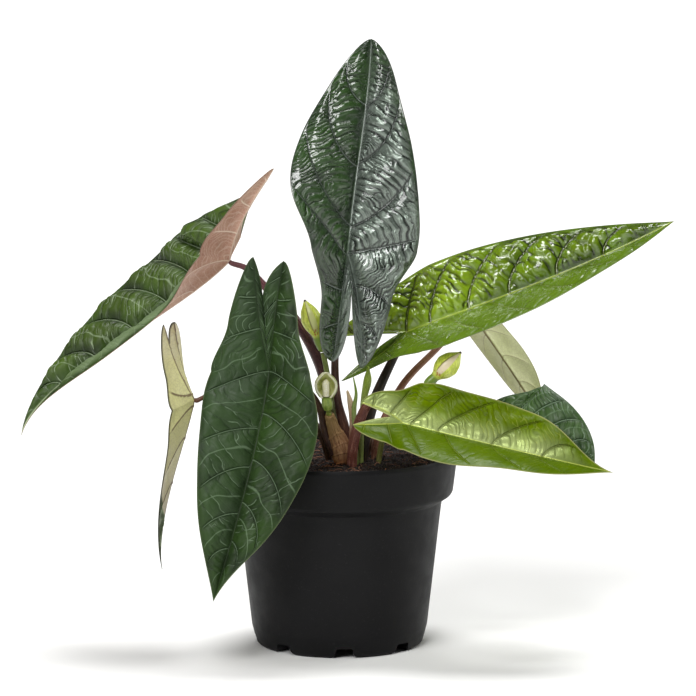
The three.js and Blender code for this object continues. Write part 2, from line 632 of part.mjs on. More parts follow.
const cormTools = [STALKS.b, STALKS.c, PEDUNCLES[1], BUDS.cataphyll].map((s) => hole(s, 118, SIDES));
cormTools.push(hole(PEDUNCLES[2], 140, SIDES));
const cormShape = (grow) => stem(CORM, CORM_SIDES, 2 * (CORM.length - 1), grow);
const inSoil = [STALKS.a, STALKS.d, STALKS.e, STALKS.f, STALKS.g, STALKS.h, PEDUNCLES[3],
  BUDS.cataphyll, BUDS.spear, BUDS.bud];
const soilTools = [cormShape(CLEARANCE), ...inSoil.map((s) => hole(s, 98, SIDES))];
piece('soil', soilGeometry(soilTools), '#2d1a12', 0.95);
piece('corm', cutAll(cormShape(0), cormTools), '#8a6444', 0.85);

const STALK_COLOURS = {
  a: '#4a2c2c', b: '#5a3b33', c: '#553038', d: '#4d3328',
  e: '#241c1e', f: '#7a4338', g: '#7d5546', h: '#5b4434',
};
const BLADE_COLOURS = {
  a: '#33493a', b: '#2f5032', c: '#3d5f34', d: '#b8b378',
  e: '#5a8a22', f: '#8aa516', g: '#b3b886', h: '#3d553c',
};
for (const [name, leaf] of Object.entries(LEAVES)) {
  const { points, triangles } = leafSheet(leaf, LEAF_ROWS[name], LEAF_COLUMNS[name]);
  piece(`leaf_${name}`, thicken(points, triangles, BLADE), BLADE_COLOURS[name], 0.4);
  const stations = stalkTo(name);
  piece(`stalk_${name}`, stem(stations, SIDES, 2 * (stations.length - 1), 0, 0.95), STALK_COLOURS[name], 0.5);
}

for (const [name, stations] of Object.entries(PEDUNCLES)) {
  piece(`peduncle_${name}`, stem(stations, SIDES, 2 * (stations.length - 1)), '#7d8a4a', 0.5);
}
for (const [name, spathe] of Object.entries(CLOSED_SPATHES)) {
  piece(`spathe_${name}`, spindle(spathe, 12), '#a9b54d', 0.45);
}
piece('spathe_2_tube', spindle(HOOD_TUBE, 12), '#8fa63f', 0.45);
const hood = hoodSheet(HOOD);
piece('spathe_2_hood', thicken(hood.points, hood.triangles, BLADE), '#c3cb86', 0.45);
piece('spadix_2', spindle(SPADIX, 10), '#e6dfb4', 0.6);
const BUD_COLOURS = { cataphyll: '#a98a5c', spear: '#7d9a3e', bud: '#8da545' };
for (const [name, stations] of Object.entries(BUDS)) {
  piece(name, stem(stations, SIDES, 2 * (stations.length - 1)), BUD_COLOURS[name], 0.5);
}

export default plant;
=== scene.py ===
import math
from itertools import product

import bmesh
import bpy
import numpy as np
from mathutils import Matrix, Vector, noise


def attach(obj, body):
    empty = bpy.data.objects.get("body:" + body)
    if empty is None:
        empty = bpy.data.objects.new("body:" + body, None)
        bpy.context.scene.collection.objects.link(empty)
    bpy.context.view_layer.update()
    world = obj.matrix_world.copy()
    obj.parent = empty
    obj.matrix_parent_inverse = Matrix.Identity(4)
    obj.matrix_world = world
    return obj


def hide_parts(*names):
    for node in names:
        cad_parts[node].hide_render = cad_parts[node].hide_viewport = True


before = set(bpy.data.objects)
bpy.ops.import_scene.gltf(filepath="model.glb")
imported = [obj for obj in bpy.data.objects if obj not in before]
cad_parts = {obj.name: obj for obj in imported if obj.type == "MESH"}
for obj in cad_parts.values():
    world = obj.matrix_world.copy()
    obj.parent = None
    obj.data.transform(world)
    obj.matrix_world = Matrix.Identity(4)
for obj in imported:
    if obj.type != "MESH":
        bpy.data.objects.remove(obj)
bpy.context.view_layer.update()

MM = 0.001  # points below are in mm and meshes in metres

CAMERA_TARGET = Vector((0.0043, 0, 0.1518))
CAMERA_ELEVATION = 10
CAMERA_DISTANCE = 4.0
CAMERA_LENS = 408.6
FLOOR_HALF = 14
WORLD_STRENGTH = 0.07
LAMPS = {  # azimuth, elevation and spread in degrees, and strength
    "top_light": (180, 78, 25, 2.4),
    "front_light": (-12, 46, 19, 1.4),
    "left_light": (-38, 25, 21, 1.3),
    "right_light": (112, 22, 34, 1.15),
}


class Values(dict):
    """Named values, read as attributes."""

    __getattr__ = dict.__getitem__


def half(rib, inner, width, fold, curl, starts, ends):
    """One half of a blade: the rib of its lobe and the lobe's inner margin, its width as a share of the
    plain shape, its fold and curl, and the places along the midrib where laterals start and beside which
    they end."""
    return Values(rib=rib, inner=inner, width=width, fold=fold, curl=curl, veins=(starts, ends))


def srgb(code):
    values = [int(code[k:k + 2], 16) / 255 for k in (1, 3, 5)]
    return tuple(v / 12.92 if v <= 0.04045 else ((v + 0.055) / 1.055) ** 2.4 for v in values) + (1.0,)


def direction(azimuth, elevation):
    a, e = math.radians(azimuth), math.radians(elevation)
    return Vector((math.sin(a) * math.cos(e), -math.cos(a) * math.cos(e), math.sin(e)))


def link(name, data):
    piece = bpy.data.objects.new(name, data)
    bpy.context.scene.collection.objects.link(piece)
    return piece


def link_looking(name, data, back):
    """Links a camera or a lamp that looks against the direction `back`."""
    piece = link(name, data)
    piece.rotation_mode = "QUATERNION"
    piece.rotation_quaternion = (-back).to_track_quat("-Z", "Y")
    return piece


def make_camera():
    data = bpy.data.cameras.new("camera")
    data.sensor_width = 36
    data.lens = CAMERA_LENS
    data.clip_start = 0.1
    data.clip_end = 100
    back = direction(0, CAMERA_ELEVATION)
    camera = link_looking("camera", data, back)
    camera.location = CAMERA_TARGET + CAMERA_DISTANCE * back
    bpy.context.scene.camera = camera


def make_studio():
    for name, (azimuth, elevation, spread, strength) in LAMPS.items():
        lamp = bpy.data.lights.new(name, "SUN")
        lamp.energy = strength
        lamp.angle = math.radians(spread)
        link_looking(name, lamp, direction(azimuth, elevation))
    world = bpy.data.worlds.new("studio")
    bpy.context.scene.world = world
    world.use_nodes = True
    background = world.node_tree.nodes["Background"]
    background.inputs["Color"].default_value = (1.0, 1.0, 0.99, 1)
    background.inputs["Strength"].default_value = WORLD_STRENGTH
    mesh = bpy.data.meshes.new("floor")
    corners = [(x * FLOOR_HALF, y * FLOOR_HALF, 0) for x, y in ((-1, -1), (1, -1), (1, 1), (-1, 1))]
    mesh.from_pydata(corners, [], [(0, 1, 2, 3)])
    floor = link("floor", mesh)
    s = Shader("floor_paint", specular=0.1, roughness=0.9)
    s.paint(s.noise(6, 2), "#f7f7f6", "#f2f2f0")
    mesh.materials.append(s.material)
    view = bpy.context.scene.view_settings
    view.view_transform = "Standard"
    view.look = "None"


class Value:
    """What a shader node puts out, for plain arithmetic."""

    def __init__(self, shader, socket):
        self.shader, self.socket = shader, socket

    def __mul__(self, other):
        return self.shader.math("MULTIPLY", self, other)

    def __add__(self, other):
        return self.shader.math("ADD", self, other)

    def __rsub__(self, other):
        return self.shader.math("SUBTRACT", other, self)

    def most(self, other):
        return self.shader.math("MAXIMUM", self, other)

    def ramp(self, low, high, to_low=0.0, to_high=1.0):
        """Eases from `to_low` at `low` to `to_high` at `high`."""
        inputs = {"Value": self, "From Min": low, "From Max": high, "To Min": to_low, "To Max": to_high}
        return self.shader.node("MapRange", inputs, "Result", interpolation_type="SMOOTHSTEP")

    def fade(self, low, high, start=1.0):
        return self.ramp(low, high, start, 0.0)


class Shader:
    """A Principled material from procedural nodes, painted in layers."""

    def __init__(self, name, specular=0.5, coat=0.0, coat_roughness=0.2, roughness=0.5):
        self.material = bpy.data.materials.new(name)
        self.material.use_nodes = True
        self.tree = self.material.node_tree
        self.tree.nodes.clear()
        self.bsdf = self.tree.nodes.new("ShaderNodeBsdfPrincipled")
        inputs = {"Roughness": roughness, "Specular IOR Level": specular, "Coat Weight": coat,
                  "Coat Roughness": coat_roughness}
        for key, value in inputs.items():
            self.bsdf.inputs[key].default_value = value
        output = self.tree.nodes.new("ShaderNodeOutputMaterial")
        self.tree.links.new(self.bsdf.outputs[0], output.inputs["Surface"])
        self.space = self.painted = self.normal = None

    def set(self, socket, value):
        if isinstance(value, Value):
            self.tree.links.new(value.socket, socket)
        else:
            socket.default_value = value

    def node(self, kind, inputs, output, **settings):
        node = self.tree.nodes.new("ShaderNode" + kind)
        for key, value in settings.items():
            setattr(node, key, value)
        for key, value in inputs.items():
            self.set(node.inputs[key], value)
        return Value(self, node.outputs[output])

    def math(self, operation, a, b=0.0):
        return self.node("Math", {0: a, 1: b}, 0, operation=operation)

    def held(self, name):
        """A value that the mesh holds at its points."""
        return self.node("Attribute", {}, "Fac", attribute_name=name)

    def place(self, stretch=(1, 1, 1)):
        if self.space is None:
            self.space = self.node("TexCoord", {}, "Object")
        if stretch == (1, 1, 1):
            return self.space
        return self.node("Mapping", {"Vector": self.space, "Scale": stretch}, "Vector")

    def noise(self, scale, detail, stretch=(1, 1, 1), distortion=0.0):
        inputs = {"Scale": scale, "Detail": detail, "Roughness": 0.55, "Distortion": distortion,
                  "Vector": self.place(stretch)}
        return self.node("TexNoise", inputs, "Fac")

    def cells(self, scale, feature="DISTANCE_TO_EDGE"):
        return self.node("TexVoronoi", {"Scale": scale, "Vector": self.place()}, "Distance", feature=feature)

    def rungs(self, size, times=1.0):
        """Distance in mm to the nearest of the finer veins of a blade. The mesh holds their running number
        and how far a second vein has parted from each."""
        number = self.held("rung") * times
        second = self.math("PINGPONG", number + self.held("fork"), 0.5)
        return self.math("MINIMUM", self.math("PINGPONG", number, 0.5), second) * (size / times)

    def mix(self, share, under, over):
        under, over = (srgb(colour) if isinstance(colour, str) else colour for colour in (under, over))
        return self.node("Mix", {0: share, 6: under, 7: over}, 2, data_type="RGBA")

    def paint(self, share, over, under=None):
        """Lays a colour over the layers before it, or over the colour given."""
        self.painted = self.mix(share, under or self.painted, over)
        self.set(self.bsdf.inputs["Base Color"], self.painted)

    def bump(self, height, depth_mm):
        """Adds relief to the normals."""
        inputs = {"Strength": 1.0, "Distance": depth_mm * MM, "Height": height}
        if self.normal:
            inputs["Normal"] = self.normal
        self.normal = self.node("Bump", inputs, "Normal")
        self.set(self.bsdf.inputs["Normal"], self.normal)

    def finish(self, scale, detail, rough, low=0.3, high=0.7):
        """Sets a patchy roughness and gives the material."""
        self.set(self.bsdf.inputs["Roughness"], self.noise(scale, detail).ramp(low, high, *rough))
        return self.material


def lateral_line(s, inner, outer):
    """1 on the lateral veins, from the running number of the band between two of them and its width."""
    off = s.math("PINGPONG", s.held("band"), 0.5) * s.held("gap")
    return off.fade(inner, outer) * s.held("rim").ramp(0.5, 4.0)


def between_line(s, inner, outer):
    """1 on the faint wavy vein halfway between two laterals."""
    number = s.held("band") + s.noise(42, 1).ramp(0.3, 0.7, 0.36, 0.64)
    return (s.math("PINGPONG", number, 0.5) * s.held("gap")).fade(inner, outer)


def upper_face(name, look):
    s = Shader(name, look.specular, look.coat, look.coat_rough)
    quilt, silver, rib, rim = (s.held(key) for key in ("quilt", "silver", "rib", "rim"))
    s.paint(s.noise(look.blotch, 4).ramp(0.36, 0.66), look.light, look.dark)
    # Painted light: the tops of the bulges get the crest colour, standing in for the light falling on them.
    s.paint(s.held("bulge").ramp(0.15, 0.95) * look.crest_share, look.crest)
    s.paint(s.noise(1400, 2).ramp(0.42, 0.72) * 0.2, look.light)
    # Painted shade: the less quilted half is painted in the plain colour, a darker tone for the shade on that
    # half.
    if look.plain:
        s.paint(1.0 - quilt, look.plain)
    # Painted light: the quilted half is lightened near the joint, to lift the shadow that leaf a casts there
    # on leaf e.
    s.paint(s.held("reach").fade(0.1, 0.45, look.near_share) * quilt.ramp(0.3, 0.9), look.near_colour)
    # Painted sheen: one half is painted a lighter, metallic colour that stands in for the light it reflects.
    s.paint(silver, look.silver_colour)
    s.set(s.bsdf.inputs["Metallic"], silver * look.metal)

    size = look.cells[1]
    rung = s.rungs(size)
    inside = rib.ramp(0.3, 2.5) * rim.ramp(0.2, 2.5) * quilt * (1.0 - lateral_line(s, 0.35, 0.95))
    uneven = s.noise(90, 2).ramp(0.36, 0.6, look.least, 1.0)
    # Painted shade: the creases along the finer veins and the laterals are darkened to the crease shade
    # colour.
    hollow = rung.fade(0.0, look.hollow_width) * look.hollow * inside * uneven
    s.paint(hollow.most(lateral_line(s, 0.2, 1.3) * quilt * look.hollow), look.deep)
    veins = rung.fade(0.1, look.vein_width) * look.ladder * s.noise(110, 2).ramp(0.48, 0.58)
    veins = veins.most(between_line(s, 0.15, 0.5) * look.between) * inside
    s.paint(veins.most(lateral_line(s, 0.15, 0.45) * look.lateral), look.vein)
    s.paint(rib.fade(0.1, look.rib_width) * look.rib, look.rib_colour or look.vein)
    s.paint(rim.fade(0.15, 0.8, look.rim_share), look.rim_colour)

    puff = 1.0 - s.math("EXPONENT", rung * (-1.0 / (look.round * size)))
    finer = 1.0 - s.math("EXPONENT", s.rungs(size, 2.3) * -2.2)
    s.bump(puff * uneven * inside, look.relief[1] * look.quilt)
    s.bump(finer * inside, look.relief[2] * look.quilt)
    s.bump(1.0 - lateral_line(s, 0.0, 0.7), look.crease)
    s.bump(s.cells(look.net), look.net_depth)
    s.bump(s.noise(2600, 2), 0.02)
    return s.finish(260, 3, look.rough)


def under_face(name, look, upper):
    s = Shader(name, specular=0.2)
    reach, rim = s.held("reach"), s.held("rim")
    s.paint(s.noise(70, 3).ramp(0.35, 0.68), look.light, look.dark)
    s.paint(reach.fade(0.05, look.reach, look.warm_share), look.warm)
    s.paint(s.cells(520).fade(0.0, 0.12, 0.14), look.vein)
    side = lateral_line(s, 0.15 * look.width, 0.5 * look.width) * look.lateral
    side = side * s.held("front").ramp(0.0, 1.0, look.lobe_lines, 1.0)
    veins = (s.rungs(upper.cells[1]).fade(0.1, 0.45) * look.ladder).most(side)
    s.paint(veins.most(s.held("rib").fade(0.2, look.rib_width) * look.rib), look.vein)
    turned = (reach + rim * -0.02).ramp(look.turned, look.turned + 0.03)
    s.paint(turned * 0.9, s.mix(s.noise(240, 3).ramp(0.4, 0.66), upper.dark, upper.vein))
    s.paint(rim.fade(0.2, look.rim_width, upper.rim_share), look.rim)
    s.bump(s.cells(520), 0.03)
    s.bump(s.noise(2400, 2), 0.012)
    return s.finish(300, 3, (0.42, 0.62))


def mesh_object(name, points, faces, values=None, materials=(), slots=None):
    """A smooth-shaded mesh from points in mm, faces, values at its points, materials and slots."""
    mesh = bpy.data.meshes.new(name)
    mesh.from_pydata(np.asarray(points, float) * MM, [], faces)
    for material in materials:
        mesh.materials.append(material)
    if slots is not None:
        mesh.polygons.foreach_set("material_index", np.asarray(slots, np.int32))
    mesh.polygons.foreach_set("use_smooth", np.ones(len(mesh.polygons), bool))
    for key, held in (values or {}).items():
        mesh.attributes.new(key, "FLOAT", "POINT").data.foreach_set("value", np.asarray(held, np.float32))
    mesh.update()
    return link(name, mesh)


def stands_for(piece, node, slot):
    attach(piece, "root")
    if node:
        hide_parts(node)


def make_piece(name, node, slot, material, points, faces, values=None):
    stands_for(mesh_object(name, points, faces, values, [material]), node, slot)


def unit(v):
    return v / np.maximum(np.linalg.norm(v, axis=-1, keepdims=True), 1e-12)


def smooth(x, low=0.0, high=1.0):
    t = np.clip((x - low) / (high - low), 0, 1)
    return t * t * (3 - 2 * t)


def bezier(points, t):
    points = [np.asarray(p, float) for p in points]
    t = np.asarray(t, float)[..., None]
    while len(points) > 1:
        points = [a * (1 - t) + b * t for a, b in zip(points, points[1:])]
    return points[0]


class Curve:
    """A Bezier curve by length along it."""

    def __init__(self, points):
        self.points = points
        self.t = np.linspace(0, 1, 801)
        steps = np.linalg.norm(np.diff(bezier(points, self.t), axis=0), axis=1)
        self.s = np.concatenate([[0], np.cumsum(steps)])
        self.length = self.s[-1]

    def at(self, s):
        return bezier(self.points, np.interp(s, self.s, self.t))


def hashed(i, j, seed):
    v = np.sin(i * 127.1 + j * 311.7 + seed * 74.7) * 43758.5453
    return v - np.floor(v)


def cell_edges(x, y, seed):
    """Distance to the nearest edge between jittered cells one unit apart, in cell units."""
    ix, iy = np.floor(x), np.floor(y)

    def centres(reach):
        for dx, dy in product(range(-reach, reach + 1), repeat=2):
            i, j = ix + dx, iy + dy
            yield (i + 0.5 + CELL_JITTER * (hashed(i, j, seed) - 0.5),
                   j + 0.5 + CELL_JITTER * (hashed(i, j, seed + 5.3) - 0.5))

    near = edge = np.full(x.shape, np.inf)
    cx = cy = np.zeros(x.shape)
    for px, py in centres(1):
        d = (px - x) ** 2 + (py - y) ** 2
        closer = d < near
        near, cx, cy = np.where(closer, d, near), np.where(closer, px, cx), np.where(closer, py, cy)
    for px, py in centres(2):
        ax, ay = px - cx, py - cy
        size = np.hypot(ax, ay)
        other = size > 1e-6
        d = ((px + cx) / 2 - x) * ax + ((py + cy) / 2 - y) * ay
        edge = np.where(other, np.minimum(edge, d / np.where(other, size, 1)), edge)
    return np.maximum(edge, 0)


def soft_noise(x, y, seed):
    """Smooth noise from 0 to 1 on a grid one unit wide."""
    ix, iy = np.floor(x), np.floor(y)
    fx, fy = smooth(x - ix), smooth(y - iy)
    low, high = (hashed(ix, j, seed) * (1 - fx) + hashed(ix + 1, j, seed) * fx for j in (iy, iy + 1))
    return low * (1 - fy) + high * fy


def weld(points, faces, values):
    """Joins points that coincide and drops what collapses."""
    keys = np.round(points * 2000).astype(np.int64)
    _, first, inverse = np.unique(keys, axis=0, return_index=True, return_inverse=True)
    cleaned = []
    for face in inverse.reshape(-1)[faces]:
        kept = [face[k] for k in range(4) if face[k] != face[k - 1]]
        if len(set(kept)) == len(kept) and len(kept) > 2:
            cleaned.append(tuple(kept))
    return points[first], cleaned, {key: v[first] for key, v in values.items()}


def normals_of(points, faces):
    triangles = np.array([(f[0], f[k], f[k + 1]) for f in faces for k in range(1, len(f) - 1)])
    a, b, c = (points[triangles[:, k]] for k in range(3))
    n = np.cross(b - a, c - a)
    total = np.zeros(points.shape)
    for k in range(3):
        np.add.at(total, triangles[:, k], n)
    return unit(total)


def sheet(points, faces, above, below, rim_slot):
    """A closed sheet: its points, its faces, and their slots, 0 above and 1 below."""
    count = len(points)
    edges = dict.fromkeys((a, b) for face in faces for a, b in zip(face, face[1:] + face[:1]))
    rim = [(a, a + count, b + count, b) for a, b in edges if (b, a) not in edges]
    closed = faces + [tuple(k + count for k in face[::-1]) for face in faces] + rim
    slots = [0] * len(faces) + [1] * len(faces) + [rim_slot] * len(rim)
    return np.concatenate([points + above, points - below]), closed, slots


def quads(a, b):
    """Faces between the points of two neighbouring columns, or of many at once."""
    return np.stack([a[:-1], b[:-1], b[1:], a[1:]], -1).reshape(-1, 4)


def ring_faces(count, sides, turned=False):
    """Faces over closed rings of points, with a fan at each end to the two points behind the rings."""
    a = np.arange(count * sides).reshape(count, sides)
    b = np.roll(a, -1, axis=1)
    foot, head = np.full(sides, a.size), np.full(sides, a.size + 1)
    faces = quads(a, b)
    fans = np.vstack([np.stack([foot, b[0], a[0]], -1), np.stack([head, a[-1], b[-1]], -1)])
    if turned:
        faces, fans = faces[:, [0, 3, 2, 1]], fans[:, [0, 2, 1]]
    return faces.tolist() + fans.tolist()


def angles(sides):
    return np.linspace(0, 2 * np.pi, sides, endpoint=False)


def circle(radius, height, sides):
    a = angles(sides)
    return np.stack([radius * np.cos(a), radius * np.sin(a), np.full(sides, float(height))], -1)


def blurred(values, reach):
    return np.convolve(np.pad(values, reach, mode="edge"), np.ones(2 * reach + 1) / (2 * reach + 1), "valid")


def swept(centre, x, y, radius, foot, head):
    """Rings of points round a line, with one more point at its foot and its head."""
    a = angles(radius.shape[1])[:, None]
    out = x[..., None, :] * np.cos(a) + y[..., None, :] * np.sin(a)
    return np.vstack([(centre[:, None] + out * radius[..., None]).reshape(-1, 3), foot, head])


# Shares along a blade, from the tips of its lobes over its joint to its tip, where each half's width, as a
# share of the plain shape, and fold, in degrees, are given.
STATIONS = np.array([-1, -0.5, 0, 0.25, 0.5, 0.75, 1])
SHAPE_POWER = 1.1
SHAPE_WIDEST = 0.25
LOBE_TAPER = 0.62
LOBE_ROUND = 5
LOBE_INNER = 0.32
LOBE_ROWS = 6
LOBE_CROWDING = 1.8  # how much closer the rows of the mesh are at the tips of the lobes
LOBE_BAND = 12
SIGNS = (-1, 1)  # of the left and right half
FRAME_REACH = 0.6
CELL_JITTER = 0.8
RIB_WIDTH = 0.9
RIB_KEEL = 0.7
RIB_GROOVE = 0.35

# Each blade in mm and degrees.
LEAVES = {
    "a": Values(
        joint=[4, -14, 203], midrib=[[6, -8, 234], [15, 6, 273], [16, 20, 307]], notch=[6, -17.5, 183],
        joined=2, taper=0.7, half_width=34, face=[[-6, 12], [0, 35], [0, 0]],
        left=half([[0, -17, 172], [-3, -18, 148]], [[5.5, -18.5, 165], [2, -18, 150]],
                  [1.4, 0.82, 0.69, 1.01, 0.98, 0.87, 0.8], [35, 38, 40, 28, 14, 10, 10], -8,
                  [-52, -36, -19, -1, 14, 44, 76], [-60, -40, -15, 30, 62, 88, 101]),
        right=half([[12, -19, 176], [10.8, -22, 145.6]], [[6.5, -20, 165], [8, -21, 147]],
                   [1, 1.1, 1.12, 1.01, 0.91, 0.77, 0.8], [20, 5, 0, 8, 20, 25, 20], -12,
                   [-50, -36, -17, 0, 13, 46, 74], [-60, -48, -30, 6, 46, 79, 99])),
    "b": Values(
        joint=[-35, -46, 148], midrib=[[-39, -60, 121], [-50, -74, 78], [-63, -78, 37]],
        notch=[-38.5, -38, 185], joined=3, half_width=32, face=[[-15, 30], [-25, 0], [-15, 10]],
        left=half([[-33, -41, 175], [-28, -40, 203]], [[-36.5, -39, 197]], [1, 1.1, 1, 1, 1, 0.93, 0.5],
                  [20, 20, 27, 6, 5, 10, 25], -8, [-50, -36, -20, 0, 22, 46, 68, 88],
                  [-56, -38, -16, 16, 46, 72, 92, 106]),
        right=half([[-42, -41, 175], [-43, -40, 205]], [[-39.5, -39, 197]],
                   [0.85, 1.18, 1.06, 0.94, 0.92, 0.96, 0.9], [10, 5, 12, 25, 32, 32, 32], -10,
                   [-52, -38, -22, 0, 30, 50, 74, 92], [-58, -40, -18, 14, 44, 68, 88, 104])),
    "c": Values(
        joint=[-56, -2, 197], midrib=[[-81, 0, 169.5], [-153.5, -2, 136.5], [-161, -8, 108.4]],
        notch=[-50, -1, 209], joined=1, half_width=34, face=[[-90, 50], [-86, 50], [-90, 50]],
        left=half([[-54, -8, 216], [-33, -12, 245.5]], [[-49, -6, 226]],
                  [0.7, 0.9, 0.97, 0.98, 0.98, 0.6, 0.05], [35, 40, 30, 10, 4, 0, 3], -6,
                  [-48, -32, -16, 0, 24, 50, 76, 100], [-54, -36, -14, 16, 46, 74, 98, 122]),
        right=half([[-52, 5, 214], [-43, 8, 230]], [[-47, 2, 220]],
                   [0.85, 1.68, 1.3, 1.17, 1.07, 0.9, 0.9], [38, 44, 40, 32, 31, 30, 18], -10,
                   [-44, -30, -14, 0, 18, 38, 60, 84, 106], [-50, -34, -16, 12, 36, 60, 84, 106, 122])),
    "d": Values(
        joint=[-74, -10, 127], midrib=[[-78, -10, 105], [-94.6, -10, 66], [-90, -10, 39.4]],
        notch=[-86, -8, 154.5], joined=3, half_width=24, face=[[-90, 10], [-90, 0], [-90, 10]],
        left=half([[-86, -14, 148], [-88.6, -18, 167]], [[-86.6, -13, 161]],
                  [1, 1.05, 0.98, 0.95, 0.8, 0.5, 0.25], [25, 30, 30, 18, 15, 18, 22], 8,
                  [-30, -3, 3, 20, 44, 66], [-36, -12, 15, 40, 62, 80]),
        right=half([[-83, 0, 146], [-83.8, 2, 164.8]], [[-87, -2, 160], [-86.2, 1, 165]],
                   [2.2, 0.9, 0.85, 1.02, 0.88, 0.55, 0.25], [-20, -12, 12, 14, 12, 14, 18], 8,
                   [-30, -3, 3, 20, 42, 64], [-36, -12, 15, 38, 60, 80])),
    "e": Values(
        joint=[34, 6, 159], midrib=[[61, 4, 170], [117, 0, 189], [168.4, -10, 218.4]],
        notch=[30, 5, 158.4], joined=1, half_width=33, face=[[-15, 43], [0, 40], [-15, 43]],
        left=half([[18, 10, 160.5], [0, 10, 155.8]], [[16, 7, 158]], [1, 0.95, 1, 0.98, 0.95, 0.94, 1],
                  [10, 10, 8, 6, 4, 4, 4], -6, [-28, -14, 0, 13, 34, 56, 82, 108],
                  [-34, -14, 12, 34, 60, 84, 106, 128]),
        right=half([[18, -4, 146], [1, -6, 136]], [[18.5, -1, 153]], [0.7, 0.9, 1.14, 1.08, 1.03, 1, 1],
                   [40, 35, 33, 34, 35, 37, 32], -5, [-34, -16, 0, 22, 46, 72, 98, 120],
                   [-38, -16, 14, 44, 70, 96, 120, 136])),
    "f": Values(
        joint=[32, -42, 121], midrib=[[55, -46, 116], [106, -50, 104], [137, -54, 98]],
        notch=[26, -41, 124], joined=1, half_width=27, face=[[10, 40], [10, 40], [10, 40]],
        left=half([[22, -37, 129], [11, -36, 130]], [[20, -39, 127]],
                  [1.1, 1.05, 1.1, 0.97, 1.01, 0.98, 0.3], [30, 20, 5, 5, 8, 28, 30], 24,
                  [-18, -8, 4, 18, 46, 72], [-20, -4, 22, 44, 72, 92]),
        right=half([[21, -46, 121], [7, -46, 121]], [[18, -43, 124]], [1, 1, 1, 1, 1, 1.16, 0.7],
                   [8, 8, 25, 26, 33, 33, 20], -8, [-20, -8, 2, 22, 46, 70], [-22, -6, 14, 40, 66, 88])),
    "g": Values(
        joint=[67, 34, 164], midrib=[[77, 36, 150], [92, 38, 127], [105, 36, 107]], notch=[62, 36, 170],
        joined=1, half_width=17, face=[[182, 20], [182, 20], [182, 20]],
        left=half([[62, 40, 174], [56, 44, 184]], [[59, 38, 176]], [1, 1, 1, 1, 1, 1, 1],
                  [30, 35, 46, 50, 50, 45, 45], -6, [-18, 0, 14, 30, 46], [-20, 12, 28, 46, 60]),
        right=half([[58, 39, 170], [49, 44, 178]], [[56, 37, 173]], [1, 0.8, 0.67, 0.72, 0.92, 1.1, 1.2],
                   [30, 35, 46, 50, 48, 40, 40], -6, [-18, 0, 12, 28, 44], [-20, 12, 26, 44, 60])),
    "h": Values(
        joint=[87, 10, 113], midrib=[[97, 0, 112], [119, -10, 105], [129, -16, 94]], notch=[84, 11.5, 114],
        joined=1, half_width=23, face=[[20, 20], [20, 20], [20, 20]],
        left=half([[84, 14, 117], [79, 17, 121]], [[81, 14, 116]], [1.2, 1.5, 1.2, 0.97, 0.93, 1.02, 1.2],
                  [20, 20, 10, 5, 5, 0, 0], -8, [-10, 0, 10, 22, 36], [-12, 8, 22, 36, 48]),
        right=half([[81, 11, 111], [73, 12, 108]], [[79, 12, 113]], [1, 1, 1.04, 1.1, 1.1, 1.05, 1],
                   [10, 10, 10, 10, 10, 10, 10], -8, [-10, 0, 10, 22, 36], [-12, 8, 22, 36, 48])),
}
